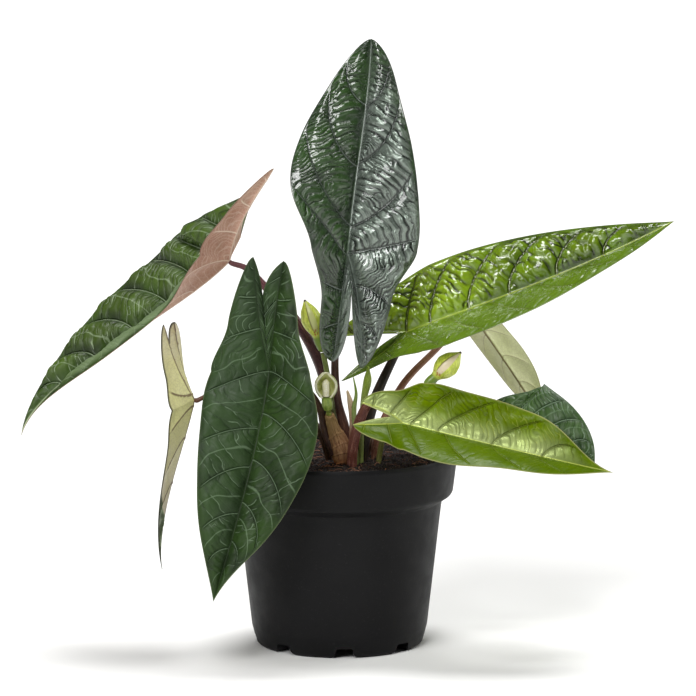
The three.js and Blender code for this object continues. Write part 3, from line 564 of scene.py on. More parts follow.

# The looks of the upper faces and of the undersides. Pairs such as the painted sheen are for the left and
# right half.
COMMON = dict(
    plain=None, rib_colour=None, specular=0.3, coat=0.0, coat_rough=0.2, metal=0.0, blotch=60,
    crest_share=0.4, ladder=0.3, lateral=0.4, rib=0.6, rib_width=0.7, rim_share=0.6, rough=(0.4, 0.55),
    net=560, net_depth=0.04, relief=(1.2, 0.5, 0.1), cells=(1.0, 5.0), hollow=0.3, thick=0.5, cell=0.75,
    round=0.16, hollow_width=0.9, vein_width=0.4, crease=0.3, near_share=0.0, near_colour="#8aac14",
    between=0.0, quilt=0.75, solid=0.45, lumps=0.25, least=0.3, silver=(0.0, 0.0), silver_reach=99,
    silver_colour="#8b9a94", half_relief=(1.0, 1.0))
LOOKS = {
    "a": dict(
        # Leaf a's pale vein colour, strong on its laterals, is partly vein colour and partly painted
        # highlight where light catches them.
        dark="#1a2c14", light="#2d481e", crest="#324d24", deep="#070c07", vein="#8c998e",
        rim_colour="#46414a", rib_colour="#59635a", hollow=0.85, hollow_width=0.7, specular=0.5, coat=0.85,
        coat_rough=0.06, metal=0.75, silver=(0.0, 0.8), silver_colour="#828d84", rough=(0.22, 0.34),
        ladder=0.12, lateral=0.45, relief=(2.2, 1.9, 0.35), half_relief=(0.6, 1.0), cells=(1.35, 3.7),
        net_depth=0.05, cell=0.7, least=0.35, crease=0.5),
    "b": dict(
        dark="#1b2913", light="#2a4018", crest="#293e1b", deep="#101c0d", vein="#7d9474",
        # Leaf b's dark rib colour is painted shade in the groove along its midrib.
        rim_colour="#4e5c3c", rib_colour="#18240f", silver=(0.0, 0.35), silver_colour="#3c5034",
        between=0.32, hollow=0.35, rough=(0.44, 0.58), specular=0.2, ladder=0.4, relief=(1.9, 0.55, 0.1),
        cells=(1.9, 6.6), cell=0.7, vein_width=0.3),
    "c": dict(
        dark="#1c290c", light="#364d16", crest="#546b24", deep="#0f1c0c", vein="#97a886",
        rim_colour="#48503f", rib_colour="#b4c09a", hollow=0.32, rough=(0.4, 0.54), ladder=0.6,
        lateral=0.6, between=0.4, silver=(0.75, 0.0), silver_colour="#71835f", rib=0.9, rib_width=1.2,
        relief=(3.8, 0.55, 0.12), cells=(1.9, 5.0), vein_width=0.36, quilt=1.1, half_relief=(0.55, 1.0)),
    "d": dict(
        dark="#2c4a26", light="#40632f", crest="#40632f", deep="#1c2c18", vein="#8fa57c",
        rim_colour="#3b3a28", relief=(0.8, 0.25, 0.0), rim_share=0.95),
    "e": dict(
        dark="#3c5200", light="#5d7c00", crest="#7c9804", deep="#141f00", vein="#b0c050",
        rim_colour="#3c4a1c", plain="#56720a", hollow=0.92, specular=0.5, coat=1.0, coat_rough=0.05,
        rough=(0.2, 0.32), ladder=0.0, lateral=0.25, rib=0.7, relief=(3.2, 1.5, 0.12), cells=(1.6, 6.2),
        lumps=0.6, hollow_width=1.2, round=0.18, near_share=0.85, near_colour="#94b41c",
        half_relief=(1.0, 0.22), net_depth=0.02, cell=0.7),
    "f": dict(
        dark="#485c00", light="#607800", crest="#677c00", deep="#2c3a00", vein="#aeb850",
        rim_colour="#a8a46c", plain="#3e5600", silver=(0.45, 0.0), silver_reach=11,
        silver_colour="#ccd896", metal=0.45, rib_width=0.5, hollow=0.4, specular=0.1, rough=(0.24, 0.36),
        ladder=0.25, lateral=0.15, rib=0.8, relief=(1.5, 0.4, 0.08), cells=(1.0, 4.2), cell=0.7,
        half_relief=(1.0, 0.4)),
    "g": dict(
        dark="#41622e", light="#567a3c", crest="#567a3c", deep="#2c4420", vein="#8fa57c",
        rim_colour="#6a6a48", relief=(0.5, 0.15, 0.0)),
    "h": dict(
        dark="#22381a", light="#365024", crest="#3e5a2a", deep="#182a1a", vein="#8aa584",
        rim_colour="#5c6c58", hollow=0.4, rough=(0.36, 0.5), relief=(1.2, 0.6, 0.15), ladder=0.4,
        lateral=0.45, between=0.2, cells=(1.2, 4.2), cell=0.7),
}
UNDER_COMMON = dict(
    dark="#8f9a68", light="#a8b07e", warm="#a8b07e", warm_share=0.0, reach=0.6, vein="#6d7148", ladder=0.1,
    lateral=0.5, rib=0.6, rib_width=0.8, width=1.0, rim="#4d5a38", turned=9.0, rim_width=0.9,
    lobe_lines=1.0)
UNDER_LOOKS = {
    "c": dict(
        dark="#c8a28c", light="#e4c5b0", warm="#a87262", warm_share=0.6, vein="#f6e6d4", rim="#3d3226",
        rib=0.5, lateral=0.7, ladder=0.22),
    # Leaf d's pale underside colours are its own colour lightened with painted light, for light shining
    # through the thin blade.
    "d": dict(
        dark="#e6dcb2", light="#f4ead0", vein="#5b3826", width=2.2, lateral=0.8, rib=0.8, ladder=0.06,
        rim="#2c2a1e", warm="#e6e69a", warm_share=0.7, turned=0.5, rim_width=1.7, lobe_lines=0.1),
    "e": dict(
        dark="#8a9a50", light="#a4b268"),
    "f": dict(
        dark="#b9bd7a", light="#ced292"),
    # Leaf g's pale underside colours are its own colour lightened with painted light, for light shining
    # through the thin blade.
    "g": dict(
        dark="#ccd09c", light="#dcdeb0", vein="#75603f", lateral=0.45, rib=0.8, rib_width=0.5,
        rim="#8b8458", ladder=0.05),
}


def through(x, values):
    """A smooth curve through values at the stations."""
    values = np.asarray(values, float)
    last = len(STATIONS) - 1
    at = np.clip(x, STATIONS[0], STATIONS[-1])
    i = np.searchsorted(STATIONS[1:-1], at, side="left")
    low, high = np.maximum(np.arange(last + 1) - 1, 0), np.minimum(np.arange(last + 1) + 1, last)
    slope = (values[high] - values[low]) / (STATIONS[high] - STATIONS[low])
    h = STATIONS[i + 1] - STATIONS[i]
    t = (at - STATIONS[i]) / h
    return ((2 * t**3 - 3 * t**2 + 1) * values[i] + (t**3 - 2 * t**2 + t) * h * slope[i]
            + (-2 * t**3 + 3 * t**2) * values[i + 1] + (t**3 - t**2) * h * slope[i + 1])


def front_shape(t, taper):
    b = taper / (1 - SHAPE_WIDEST * (1 + taper))
    return (1 - t) ** taper * (1 + b * t) / ((1 - SHAPE_WIDEST) ** taper * (1 + b * SHAPE_WIDEST))


def lobe_shape(q, taper):
    return front_shape(0, taper) * (1 - LOBE_TAPER * q) * np.sqrt(np.maximum(1 - q**LOBE_ROUND, 0))


def veins_at(veins, s, u, from_rib, length, lobe):
    """Which band between two lateral veins a point is in, as a running number that is whole on each vein,
    how far apart the two are there, and how far the point is from the axil of the band, in mm."""
    starts, ends = veins
    starts = [min(starts[0] - 18, -lobe - 12), *starts, max(starts[-1] + 16, length + 6)]
    ends = [min(ends[0] - 18, -lobe - 18), *ends, max(ends[-1] + 16, length + 14)]
    bend = u**1.6
    place = np.stack([a + (b - a) * bend for a, b in zip(starts, ends)])
    count = np.clip((place <= s).sum(0) - 1, 0, len(starts) - 2)
    low, high = (np.take_along_axis(place, count[None] + k, 0)[0] for k in (0, 1))
    gap = np.maximum(high - low, 0.5)
    starts = np.array(starts)
    lower, upper = starts[count], starts[count + 1]
    ring = np.hypot(from_rib, s - np.where(lower + upper < 0, upper, lower))
    return count + np.clip((s - low) / gap, 0, 1), gap, ring


def surface(s, from_rib, phase, gap, ring, edge, look, seed, share):
    """The running number of the finer veins, which run round the axil of their band from one lateral to the
    next, how far a second one has parted from each, the height of the quilting in mm, and how far up a
    bulge the point is."""
    band = np.floor(phase)
    part = phase - band
    lateral = np.minimum(part, 1 - part) * gap * 0.8
    count, size = look.cells
    warp = 0.75 * np.sin(phase * 5.1 + s * 0.09) + 0.5 * np.sin(from_rib * 0.5 + 9 * part)
    warp = warp + 0.3 * np.sin(s * 0.9)
    for wide, amount in ((5, 1.4), (2, 0.5)):
        warp = warp + amount * (soft_noise(s / wide, from_rib / wide, seed) - 0.5)
    rung = (ring + warp) / size + 0.37 * band
    fork = 0.5 * smooth(soft_noise(s / 9, from_rib / 9, seed + 3), 0.5, 0.66)
    near = np.minimum(*(np.abs((number + 0.5) % 1 - 0.5) for number in (rung, rung + fork))) * size
    cells = 1 - np.exp(-cell_edges(phase * count + 17 * seed, rung, seed) * size / 1.1)
    bulge = (1 - np.abs(2 * part - 1) ** 2.2) * smooth(from_rib, 0, 7) * smooth(edge, 0, 6)
    puff = (1 - np.exp(-near / (1.6 * look.round * size))) * smooth(from_rib, 0.5, 4) * smooth(edge, 0.3, 3)
    crease = 0.3 * np.exp(-((lateral / 0.5) ** 2)) * smooth(edge, 0, 3)
    big, small, _ = look.relief
    height = big * np.clip(gap / 18, 0.35, 1.1) * bulge * (1 + look.lumps * (cells - 0.5))
    return rung, fork, share * (height + look.solid * small * puff - crease), np.clip(bulge, 0, 1)


def patch(look, seed, share, points, along, from_rib, phase, gap, ring, edge, fade, **values):
    """A patch of a blade: its points and their values. `share` is how strong the relief of its half is."""
    rung, fork, height, bulge = surface(along, from_rib, phase, gap, ring, edge, look, seed, share)
    values.update(rib=from_rib, band=phase, gap=gap, rung=rung, fork=fork, height=height * fade, bulge=bulge,
                  rim=edge, quilt=share)
    return points, values


def outer_patch(leaf, look, seed, side, midrib, rib, lobe_rows):
    """One half of a blade from the midrib and the lobe's rib out to the margin."""
    half_leaf, sign = (leaf.left, leaf.right)[side], SIGNS[side]
    rows = int(math.ceil(midrib.length / look.cell))
    crowded = (1 - np.linspace(1, 0, lobe_rows + 1)[:-1]) ** LOBE_CROWDING
    s = np.concatenate([-rib.length * (1 - crowded), midrib.length * np.linspace(0, 1, rows + 1)])
    lobe = (s < 0)[:, None]

    def on_line(x):
        x = np.clip(x, -rib.length, midrib.length)
        return np.where((x < 0)[:, None], rib.at(np.maximum(-x, 0)), midrib.at(np.maximum(x, 0)))

    reach = FRAME_REACH * rib.length
    tangent = unit(on_line(s + reach) - on_line(s - reach))
    x = np.where(s < 0, s / rib.length, s / midrib.length)
    t, q = np.maximum(x, 0), np.maximum(-x, 0)
    turn = smooth(t + q)[:, None]
    at_joint, at_tip, at_lobe = (np.array(direction(*f)) for f in leaf.face)
    up = at_joint * (1 - turn) + np.where(lobe, at_lobe, at_tip) * turn
    up = unit(up - tangent * (up * tangent).sum(1, keepdims=True))
    across = np.cross(tangent, up) * sign

    taper = leaf.get("taper", SHAPE_POWER)
    lobe_width = lobe_shape(q, taper) * (1 - LOBE_INNER * smooth(q, 0, 0.45))
    plain = np.where(s < 0, lobe_width, front_shape(t, taper))
    width = (through(x, half_leaf.width) * leaf.half_width * plain)[:, None]
    fold, curl = np.radians(through(x, half_leaf.fold))[:, None], math.radians(half_leaf.curl)
    u = np.linspace(0, 1, int(math.ceil(0.8 * leaf.half_width / look.cell)) + 1)
    start, end = fold - curl, fold + curl * (2 * u[None] - 1)
    out, rise = (np.sin(end) - np.sin(start)) / (2 * curl), (np.cos(start) - np.cos(end)) / (2 * curl)
    points = on_line(s)[:, None] + across[:, None] * (width * out)[..., None]
    points = points + up[:, None] * (width * rise)[..., None]

    s, u, width = np.broadcast_arrays(s[:, None], u[None], width)
    from_rib = u * width
    phase, gap, ring = veins_at(half_leaf.veins, s, u, from_rib, midrib.length, rib.length)
    to_tip = np.maximum(np.minimum(midrib.length - s, s + rib.length), 0)
    edge = np.minimum((1 - u) * width, to_tip * 1.4)
    # The painted sheen of this half, fading towards its margin, its tip and away from the midrib.
    silver = look.silver[side] * smooth(edge, 0.5, 1.5 + 7 * t[:, None])
    silver = silver * (1 - 0.8 * smooth(t, 0.62, 0.9)[:, None])
    silver = silver * (1 - smooth(from_rib, look.silver_reach - 9, look.silver_reach + 4))
    return patch(look, seed + sign, look.half_relief[side], points, s, from_rib, phase, gap, ring, edge, 1.0,
                 reach=np.abs(s) / midrib.length, silver=silver, front=smooth(s, -14, -8))


def lobe_patch(leaf, look, seed, side, midrib, rib, lobe_rows):
    """The part of a half between the lobe's rib and the notch."""
    half_leaf = (leaf.left, leaf.right)[side]
    joint, notch = np.array(leaf.joint, float), np.array(leaf.notch, float)
    q = 1 - (1 - np.linspace(0, 1, lobe_rows + 1)) ** LOBE_CROWDING
    rib_points = rib.at(q * rib.length)
    q_notch = 1 - (1 - leaf.joined / LOBE_ROWS) ** LOBE_CROWDING
    along = (LOBE_ROWS * (1 - (1 - q) ** (1 / LOBE_CROWDING)) / leaf.joined)[:, None]
    free = np.clip((q - q_notch) / (1 - q_notch), 0, 1)
    margin = bezier([notch, *half_leaf.inner, half_leaf.rib[1]], free)
    edge_points = np.where(along <= 1, joint * (1 - along) + notch * along, margin)
    span = np.linalg.norm(edge_points - rib_points, axis=1)[:, None]
    v = np.linspace(0, 1, max(4, int(math.ceil(span.max() / look.cell))) + 1)
    points = rib_points[:, None] * (1 - v)[None, :, None] + edge_points[:, None] * v[None, :, None]

    q, v = np.broadcast_arrays(q[:, None], v[None])
    from_rib, inwards = v * span, (1 - v) * span
    edge = np.minimum(np.where(along <= 1, 9.0, inwards), (1 - q) * rib.length * 1.4)
    phase = q * rib.length / LOBE_BAND + 0.4 * v
    ring = np.hypot(from_rib, (phase % 1) * 9)
    fade = np.where(along <= 1, smooth(inwards, 0, 3), 1.0)
    # The lobe gets a weaker painted sheen.
    return patch(look, seed + 7 * SIGNS[side], look.half_relief[side], points, -q * rib.length, from_rib,
                 phase, float(LOBE_BAND), ring, edge, fade, reach=q * rib.length / midrib.length,
                 silver=max(look.silver) * 0.7, front=0.0)


def leaf_patches(leaf, look, seed):
    """The patches of a blade: for either half its sign, then the points and values of each patch."""
    joint = np.array(leaf.joint, float)
    midrib = Curve([joint, *leaf.midrib])
    ribs = [Curve([joint, *half_leaf.rib]) for half_leaf in (leaf.left, leaf.right)]
    lobe_rows = int(math.ceil(1.3 * max(rib.length for rib in ribs) / look.cell))
    for side, make in product((0, 1), (outer_patch, lobe_patch)):
        yield SIGNS[side], *make(leaf, look, seed, side, midrib, ribs[side], lobe_rows)


def make_leaf(name, leaf, look, under):
    points, faces, values, base = [], [], {}, 0
    for sign, grid, held in leaf_patches(leaf, look, ord(name) - ord("a") + 1):
        shape = grid.shape[:2]
        index = base + np.arange(shape[0] * shape[1]).reshape(shape)
        faces.append(quads(index[:, :-1], index[:, 1:])[:, ::sign])
        points.append(grid.reshape(-1, 3))
        for key, v in held.items():
            values.setdefault(key, []).append(np.broadcast_to(v, shape).reshape(-1))
        base += index.size
    values = {key: np.concatenate(v) for key, v in values.items()}
    points, faces, values = weld(np.concatenate(points), np.concatenate(faces), values)
    normals = normals_of(points, faces)
    height = values.pop("height")[:, None]
    rim = values["rim"][:, None]
    rib_line = np.exp(-((values["rib"][:, None] / RIB_WIDTH) ** 2)) * smooth(rim, 0, 6)
    thick = look.thick * (0.55 + 0.45 * smooth(rim, 0, 2.5))
    keel = RIB_KEEL * rib_line * (1 - 0.6 * values["reach"][:, None])
    above = normals * (height - RIB_GROOVE * rib_line + thick / 2)
    below = -normals * (height - thick / 2 - keel)
    points, faces, slots = sheet(points, faces, above, below, 1)
    materials = [upper_face(f"blade_{name}_upper", look), under_face(f"blade_{name}_under", under, look)]
    values = {key: np.concatenate([v, v]) for key, v in values.items()}
    blade = mesh_object(f"blade_{name}", points, faces, values, materials, slots)
    stands_for(blade, f"leaf_{name}", f"blade_{name}")


def catmull(points, t):
    """Centripetal Catmull-Rom curve through the points, at t from 0 to 1, with its direction."""
    p = np.asarray(points, float)
    last = len(p) - 1
    p = np.vstack([2 * p[0] - p[1], p, 2 * p[-1] - p[-2]])
    at = np.clip(np.asarray(t, float), 0, 1) * last
    k = np.minimum(at.astype(int), last - 1)
    w = (at - k)[:, None]
    a, b, c, d = (p[k + n] for n in range(4))
    d0, d1, d2 = (np.maximum(np.linalg.norm(y - x, axis=1), 1e-6)[:, None] ** 0.5
                  for x, y in ((a, b), (b, c), (c, d)))
    m1 = ((b - a) / d0 - (c - a) / (d0 + d1) + (c - b) / d1) * d1
    m2 = ((c - b) / d1 - (d - b) / (d1 + d2) + (d - c) / d2) * d1
    c2, c3 = -3 * b + 3 * c - 2 * m1 - m2, 2 * b - 2 * c + m1 + m2
    return b + m1 * w + c2 * w**2 + c3 * w**3, unit(m1 + 2 * c2 * w + 3 * c3 * w**2)


def tube(stations, sides, step, ridges=0.0, roundness=1.0):
    """A stem through points with radii, in mm: points, faces and values."""
    stations = np.asarray(stations, float)
    rough = catmull(stations[:, :3], np.linspace(0, 1, 200))[0]
    length = np.linalg.norm(np.diff(rough, axis=0), axis=1).sum()
    rows = max(6, int(length / step))
    t = np.linspace(0, 1, rows + 1)
    centre, tangent = catmull(stations[:, :3], t)
    radius = np.interp(t, np.linspace(0, 1, len(stations)), stations[:, 3])
    wide = max(1, rows // (3 * (len(stations) - 1)))
    radius = blurred(radius, wide)
    x = unit(np.cross(tangent, [0, 1, 0.13]))
    angle = angles(sides)
    wave = 1 + ridges * (np.cos(7 * angle)[None] * 0.5 + np.sin(3 * angle + 9 * t[:, None]) * 0.5)
    tip = centre[-1] + tangent[-1] * radius[-1] * roundness
    points = swept(centre, x, np.cross(tangent, x), radius[:, None] * wave, centre[0], tip)
    values = {
        "along": np.append(np.repeat(t * length, sides), [0, length]),
        "share": np.append(np.repeat(t, sides), [0, 1]),
        "side_x": np.append(np.tile(np.cos(angle), rows + 1), [0, 0]),
        "side_y": np.append(np.tile(np.sin(angle), rows + 1), [0, 0]),
    }
    return points, ring_faces(rows + 1, sides), values


def upright_space(s, stretch):
    """Texture space along a stem: its length and the direction round it."""
    inputs = {"X": s.held("along") * stretch, "Y": s.held("side_x"), "Z": s.held("side_y")}
    return s.node("CombineXYZ", inputs, "Vector")


def stem_skin(name, foot, head, fleck, amount, roughness=0.38, turn=0.5, coat=0.06):
    s = Shader(name, specular=0.32, coat=coat, coat_roughness=0.25)
    s.paint(s.held("share").ramp(turn - 0.35, turn + 0.35), head, foot)
    s.space = upright_space(s, 0.05)
    s.paint(s.noise(4.5, 5).ramp(0.46, 0.68, 0.0, amount), fleck)
    s.space = upright_space(s, 0.5)
    s.paint(s.noise(3.2, 4).ramp(0.56, 0.7, 0.0, amount * 0.6), fleck)
    s.paint(s.noise(2.1, 3).fade(0.3, 0.5, 0.35), "#140d0c")
    s.space = upright_space(s, 0.06)
    s.bump(s.noise(11, 3), 0.10)
    return s.finish(9, 3, (roughness - 0.06, roughness + 0.12))


# Stems as points with radii, from the foot up, and their colours at the foot and head, and of their flecks.
STALKS = {
    "a": [[5.2, -1.6, 82, 2.9], [4.6, -1.8, 95, 3.1], [2.2, -3.8, 111, 3.1], [-1.2, -6, 126, 2.3],
          [-2.3, -7, 146, 1.9], [1, -9.6, 180, 1.7]],
    "b": [[-3.4, -12.6, 99, 1.3], [-5.4, -12.8, 105, 1.7], [-7.8, -12.6, 112, 1.8], [-10.2, -15, 124, 1.8],
          [-22, -31, 141, 1.7]],
    "c": [[-2.6, -8.4, 98, 1.6], [-3.8, -8.5, 104, 2], [-5.8, -8.8, 120, 2.3], [-8.8, -7.4, 141, 2.8],
          [-20.4, -4, 164, 2.7], [-36, -3, 182, 2.1], [-47, -2, 193, 1.5]],
    "d": [[-5, -2, 82, 1.8], [-5.6, -1.8, 96, 1.8], [-14, 0, 115, 1.7], [-35, -4, 130, 1.4],
          [-55, -8, 131.5, 1], [-66, -9.4, 129.6, 0.9]],
    "e": [[11.6, -3, 82, 3], [11.6, -3, 95, 3], [13.6, -1.5, 110, 3], [17.8, 1, 125, 2.7],
          [27, 4.4, 145, 2.1]],
    "f": [[6.6, -16.8, 82, 2.4], [6.4, -17, 96, 2.6], [7.6, -17.2, 108, 2.7], [10.8, -17.2, 119, 2.6],
          [14.4, -18.6, 126, 2.2], [21, -25, 127, 1.9], [28, -35, 122.5, 1.5]],
    "g": [[18.5, 2.5, 82, 1.9], [18, 3, 97, 1.9], [19, 4, 105, 1.9], [32, 10, 131, 1.8],
          [49.5, 20, 148, 1.6]],
    "h": [[13, 6.4, 82, 1.9], [13.6, 7, 96, 1.9], [21, 10, 105, 1.8], [45, 16, 110, 1.6],
          [70, 22, 107, 1.4], [80, 18.4, 109, 1.3]],
}
STALK_LOOKS = {
    "a": ("#5a3a30", "#3f2626", "#8d6a58", 0.5),
    "b": ("#3a2622", "#5a4636", "#80604c", 0.4),
    "c": ("#2f1a1e", "#5a3238", "#8d5f5f", 0.45),
    "d": ("#4d3328", "#54301f", "#805c44", 0.4),
    "e": ("#241a18", "#1d1614", "#5a4238", 0.5),
    "f": ("#663830", "#5c3027", "#b08070", 0.55),
    "g": ("#7d4f40", "#8d5f4a", "#c4987c", 0.6),
    "h": ("#5b4434", "#5b4434", "#8a6c54", 0.4),
}
PEDUNCLES = {
    1: [[0.4, -9.4, 97, 1.4], [-0.4, -9.6, 104, 1.4], [-3.2, -11.8, 121, 1.4], [-6, -12.4, 140, 1.4],
        [-8.2, -13.8, 151.6, 1.4]],
    2: [[-0.2, -12.2, 98, 1.3], [-1.4, -12.9, 107, 1.4], [-2.8, -14.2, 112.1, 1.4],
        [-5.2, -17.2, 120.9, 1.4], [-5.5, -18, 122.2, 1.4]],
    3: [[19.4, -6, 82, 1.4], [20, -6.6, 96, 1.4], [25, -10, 116, 1.4], [36, -14, 130, 1.3],
        [42.6, -15, 134, 1.3]],
}
PEDUNCLE_LOOKS = {
    1: ("#4b3a30", "#6b7a3a", "#b8bd78", 0.35),
    2: ("#6d6a3c", "#86973f", "#b8bd78", 0.35),
    3: ("#6d6a3c", "#86973f", "#b8bd78", 0.35),
}
SHOOTS = {  # slot, ridges, skin and stations
    "cataphyll": ("cataphyll", 0.05, ("#a87560", "#d8bd98", "#f0dfc0", 0.6, 0.6, 0.6, 0.0),
                  [[5.6, -8.2, 82, 1.4], [6, -8.6, 100, 1.5], [6.6, -9, 114, 1.6], [5.6, -9.2, 125, 1.6],
                   [4.1, -9.4, 131, 0.6]]),
    "spear": ("shoot", 0.02, ("#9aa86a", "#7d9a3e", "#b6c47c", 0.4, 0.4, 0.6, 0.15),
              [[8.8, -12.6, 82, 1.1], [8.4, -12.6, 100, 1.1], [7.6, -12.6, 114, 1.2], [7.4, -12.4, 123, 1.3],
               [8.4, -12, 130.4, 0.8], [7.1, -11.6, 138.6, 0.3]]),
    "bud": ("shoot", 0.02, ("#8d9a5a", "#86a02f", "#bccb72", 0.4, 0.36, 0.6, 0.15),
            [[11, -9.6, 82, 1.2], [11, -9.6, 104, 1.3], [11.4, -10, 118, 1.4], [12.4, -11, 128, 1.6],
             [14.2, -13.4, 137.6, 2.3], [14.5, -15.4, 144.6, 0.5]]),
}
CORM = [[0.8, -10.8, 84, 2.6], [0.8, -10.8, 93, 2.8], [0.9, -10.8, 97.5, 4.6], [0.5, -11, 102.5, 5.3],
        [-0.9, -12.2, 107.5, 4.4], [-2.8, -14.2, 112.5, 3.2], [-5.2, -17.2, 120.6, 2.3]]
STALK_SHAPE = (28, 0.7, 0.045, 0.3)  # sides, step along the stem, ridges and roundness of its end
PEDUNCLE_SHAPE = (24, 0.6, 0.03, 0.3)


def make_stem(piece, node, slot, stations, shape, skin):
    make_piece(piece, node, slot, stem_skin(f"{node}_skin", *skin), *tube(stations, *shape))


def make_stems():
    for name, leaf in LEAVES.items():
        joint = np.array(leaf.joint, float)
        tangent = unit(np.array(leaf.midrib[0], float) - joint)
        up = np.array(direction(*leaf.face[0]))
        up = unit(up - tangent * up.dot(tangent))
        stations = [*STALKS[name], [*(joint - 1.9 * up), 1.3], [*(joint - 0.7 * up), 1.0]]
        node = f"stalk_{name}"
        make_stem(f"stem_{name}", node, node, stations, STALK_SHAPE, STALK_LOOKS[name])
    for name, stations in PEDUNCLES.items():
        node = f"peduncle_{name}"
        make_stem(f"flower_stalk_{name}", node, "peduncle", stations, PEDUNCLE_SHAPE, PEDUNCLE_LOOKS[name])


def lathe(start, end, profile, sides, rows, blur=1, shape=None):
    """A body turned about the line between two points in mm: points, faces and values. The profile gives
    radii at shares of the line, and `shape` alters them by share, angle and length."""
    start, end = np.array(start, float), np.array(end, float)
    axis, length = unit(end - start), np.linalg.norm(end - start)
    right = unit(np.cross(axis, [0, 1, 0]))
    shares = np.linspace(0, 1, rows + 1)
    radius = np.repeat(blurred(np.interp(shares, *zip(*profile)), blur)[:, None], sides, 1)
    if shape:
        radius = shape(radius, shares[:, None], angles(sides)[None], length)
    centre = start + axis * (shares * length)[:, None]
    points = swept(centre, right, np.cross(axis, right), radius, start, centre[-1])
    return points, ring_faces(rows + 1, sides, True), {"share": np.append(np.repeat(shares, sides), [0, 1])}


SPATHES = {
    "1": Values(start=(-8.5, -14, 152.2), end=(-17.6, -14.4, 179), strip_at=100, strip_colour="#c6ca84",
                profile=[(0, 0.4), (0.012, 1.3), (0.08, 2.1), (0.22, 2.5), (0.33, 2.2), (0.48, 4.4),
                         (0.64, 5.3), (0.8, 4), (0.92, 1.8), (1, 0.25)]),
    "3": Values(start=(42.9, -15, 134.4), end=(61.4, -15, 152.4), strip_at=78, strip_colour="#d6c8a8",
                profile=[(0, 0.4), (0.012, 1.3), (0.07, 2.4), (0.2, 2.7), (0.3, 2.3), (0.45, 5),
                         (0.62, 6.1), (0.8, 4.6), (0.93, 1.6), (1, 0.25)]),
}
STRIP_HALF = 0.34  # in radians
SEAM_AT = -0.33
OPEN_TUBE = ((-5.6, -18.2, 122.7), (-6.6, -19.8, 130))
OPEN_TUBE_PROFILE = [(0, 0.05), (0.02, 1.3), (0.15, 2.3), (0.5, 2.9), (0.85, 2.6), (0.99, 2.1), (1, 0.05)]
HOOD = Values(foot=(-6.6, -19.8, 130.4), lean=(-0.4, -0.3), height=12.6, openness=150,
              radius=[3.4, 5, 5.6, 5.4, 4.1, 1.4], forward=[0, 0, 0, 0.6, 1.8, 3.2])
SPIKE = ((-6.65, -19.9, 130.4), (-7, -20.4, 139.4))
SPIKE_PROFILE = [(0, 0.05), (0.02, 1.7), (0.8, 1.8), (0.94, 1.2), (1, 0.05)]
GRAIN = 0.55


def streaked(name, coat, scale, length, depth, light, dark):
    """A waxy green with streaks along Z, in colour and relief."""
    s = Shader(name, coat=coat)
    streaks = s.noise(scale, 3, (1, 1, length))
    s.paint(streaks.ramp(0.35, 0.65), light, dark)
    s.bump(streaks, depth)
    return s


def spathe_skin(name, strip_colour):
    s = streaked(name, 0.2, 900, 0.35, 0.06, "#d8e362", "#acba3c")
    share, strip = s.held("share"), s.held("strip")
    s.paint(share.fade(0.26, 0.36), "#6d8630")
    s.paint(strip.fade(STRIP_HALF * 0.7, STRIP_HALF) * share.ramp(0.34, 0.44), strip_colour)
    s.paint(s.held("seam").fade(0.02, 0.12, 0.85) * share.ramp(0.33, 0.5), "#6d6040")
    zone = share.ramp(0.3, 0.36) * share.fade(0.42, 0.52) * strip.fade(0.7, 1.1)
    s.paint(s.cells(720, "F1").fade(0.26, 0.42, 0.95) * zone, "#b06a35")
    s.paint(share.ramp(0.955, 0.985), "#3a2c1c")
    return s.finish(500, 2, (0.34, 0.46))


def closed_spathe(name, spathe):
    """A rolled bract: a slim tube that swells into an oval, whose free edge laps over in front."""
    rows, sides = 90, 96

    def off_strip(angle):
        return (angle - math.radians(spathe.strip_at) + np.pi) % (2 * np.pi) - np.pi

    def lap(radius, share, angle, _):
        off = off_strip(angle)
        over = 0.09 * smooth(off, -0.36, -0.3) * (1 - smooth(off, 0.2, 1.6)) + 0.02 * np.cos(4 * off)
        return np.where(share > 0, radius, 0.3) * (1 + smooth(share, 0.3, 0.45) * over)

    points, faces, values = lathe(spathe.start, spathe.end, spathe.profile, sides, rows, 4, lap)
    off = np.tile(off_strip(angles(sides)), rows + 1)
    values["strip"] = np.append(np.abs(off), [0, 0])
    values["seam"] = np.append(np.abs(off - SEAM_AT), [1, 1])
    skin = spathe_skin(f"spathe_{name}_skin", spathe.strip_colour)
    make_piece(f"bract_{name}", f"spathe_{name}", "spathe", skin, points, faces, values)


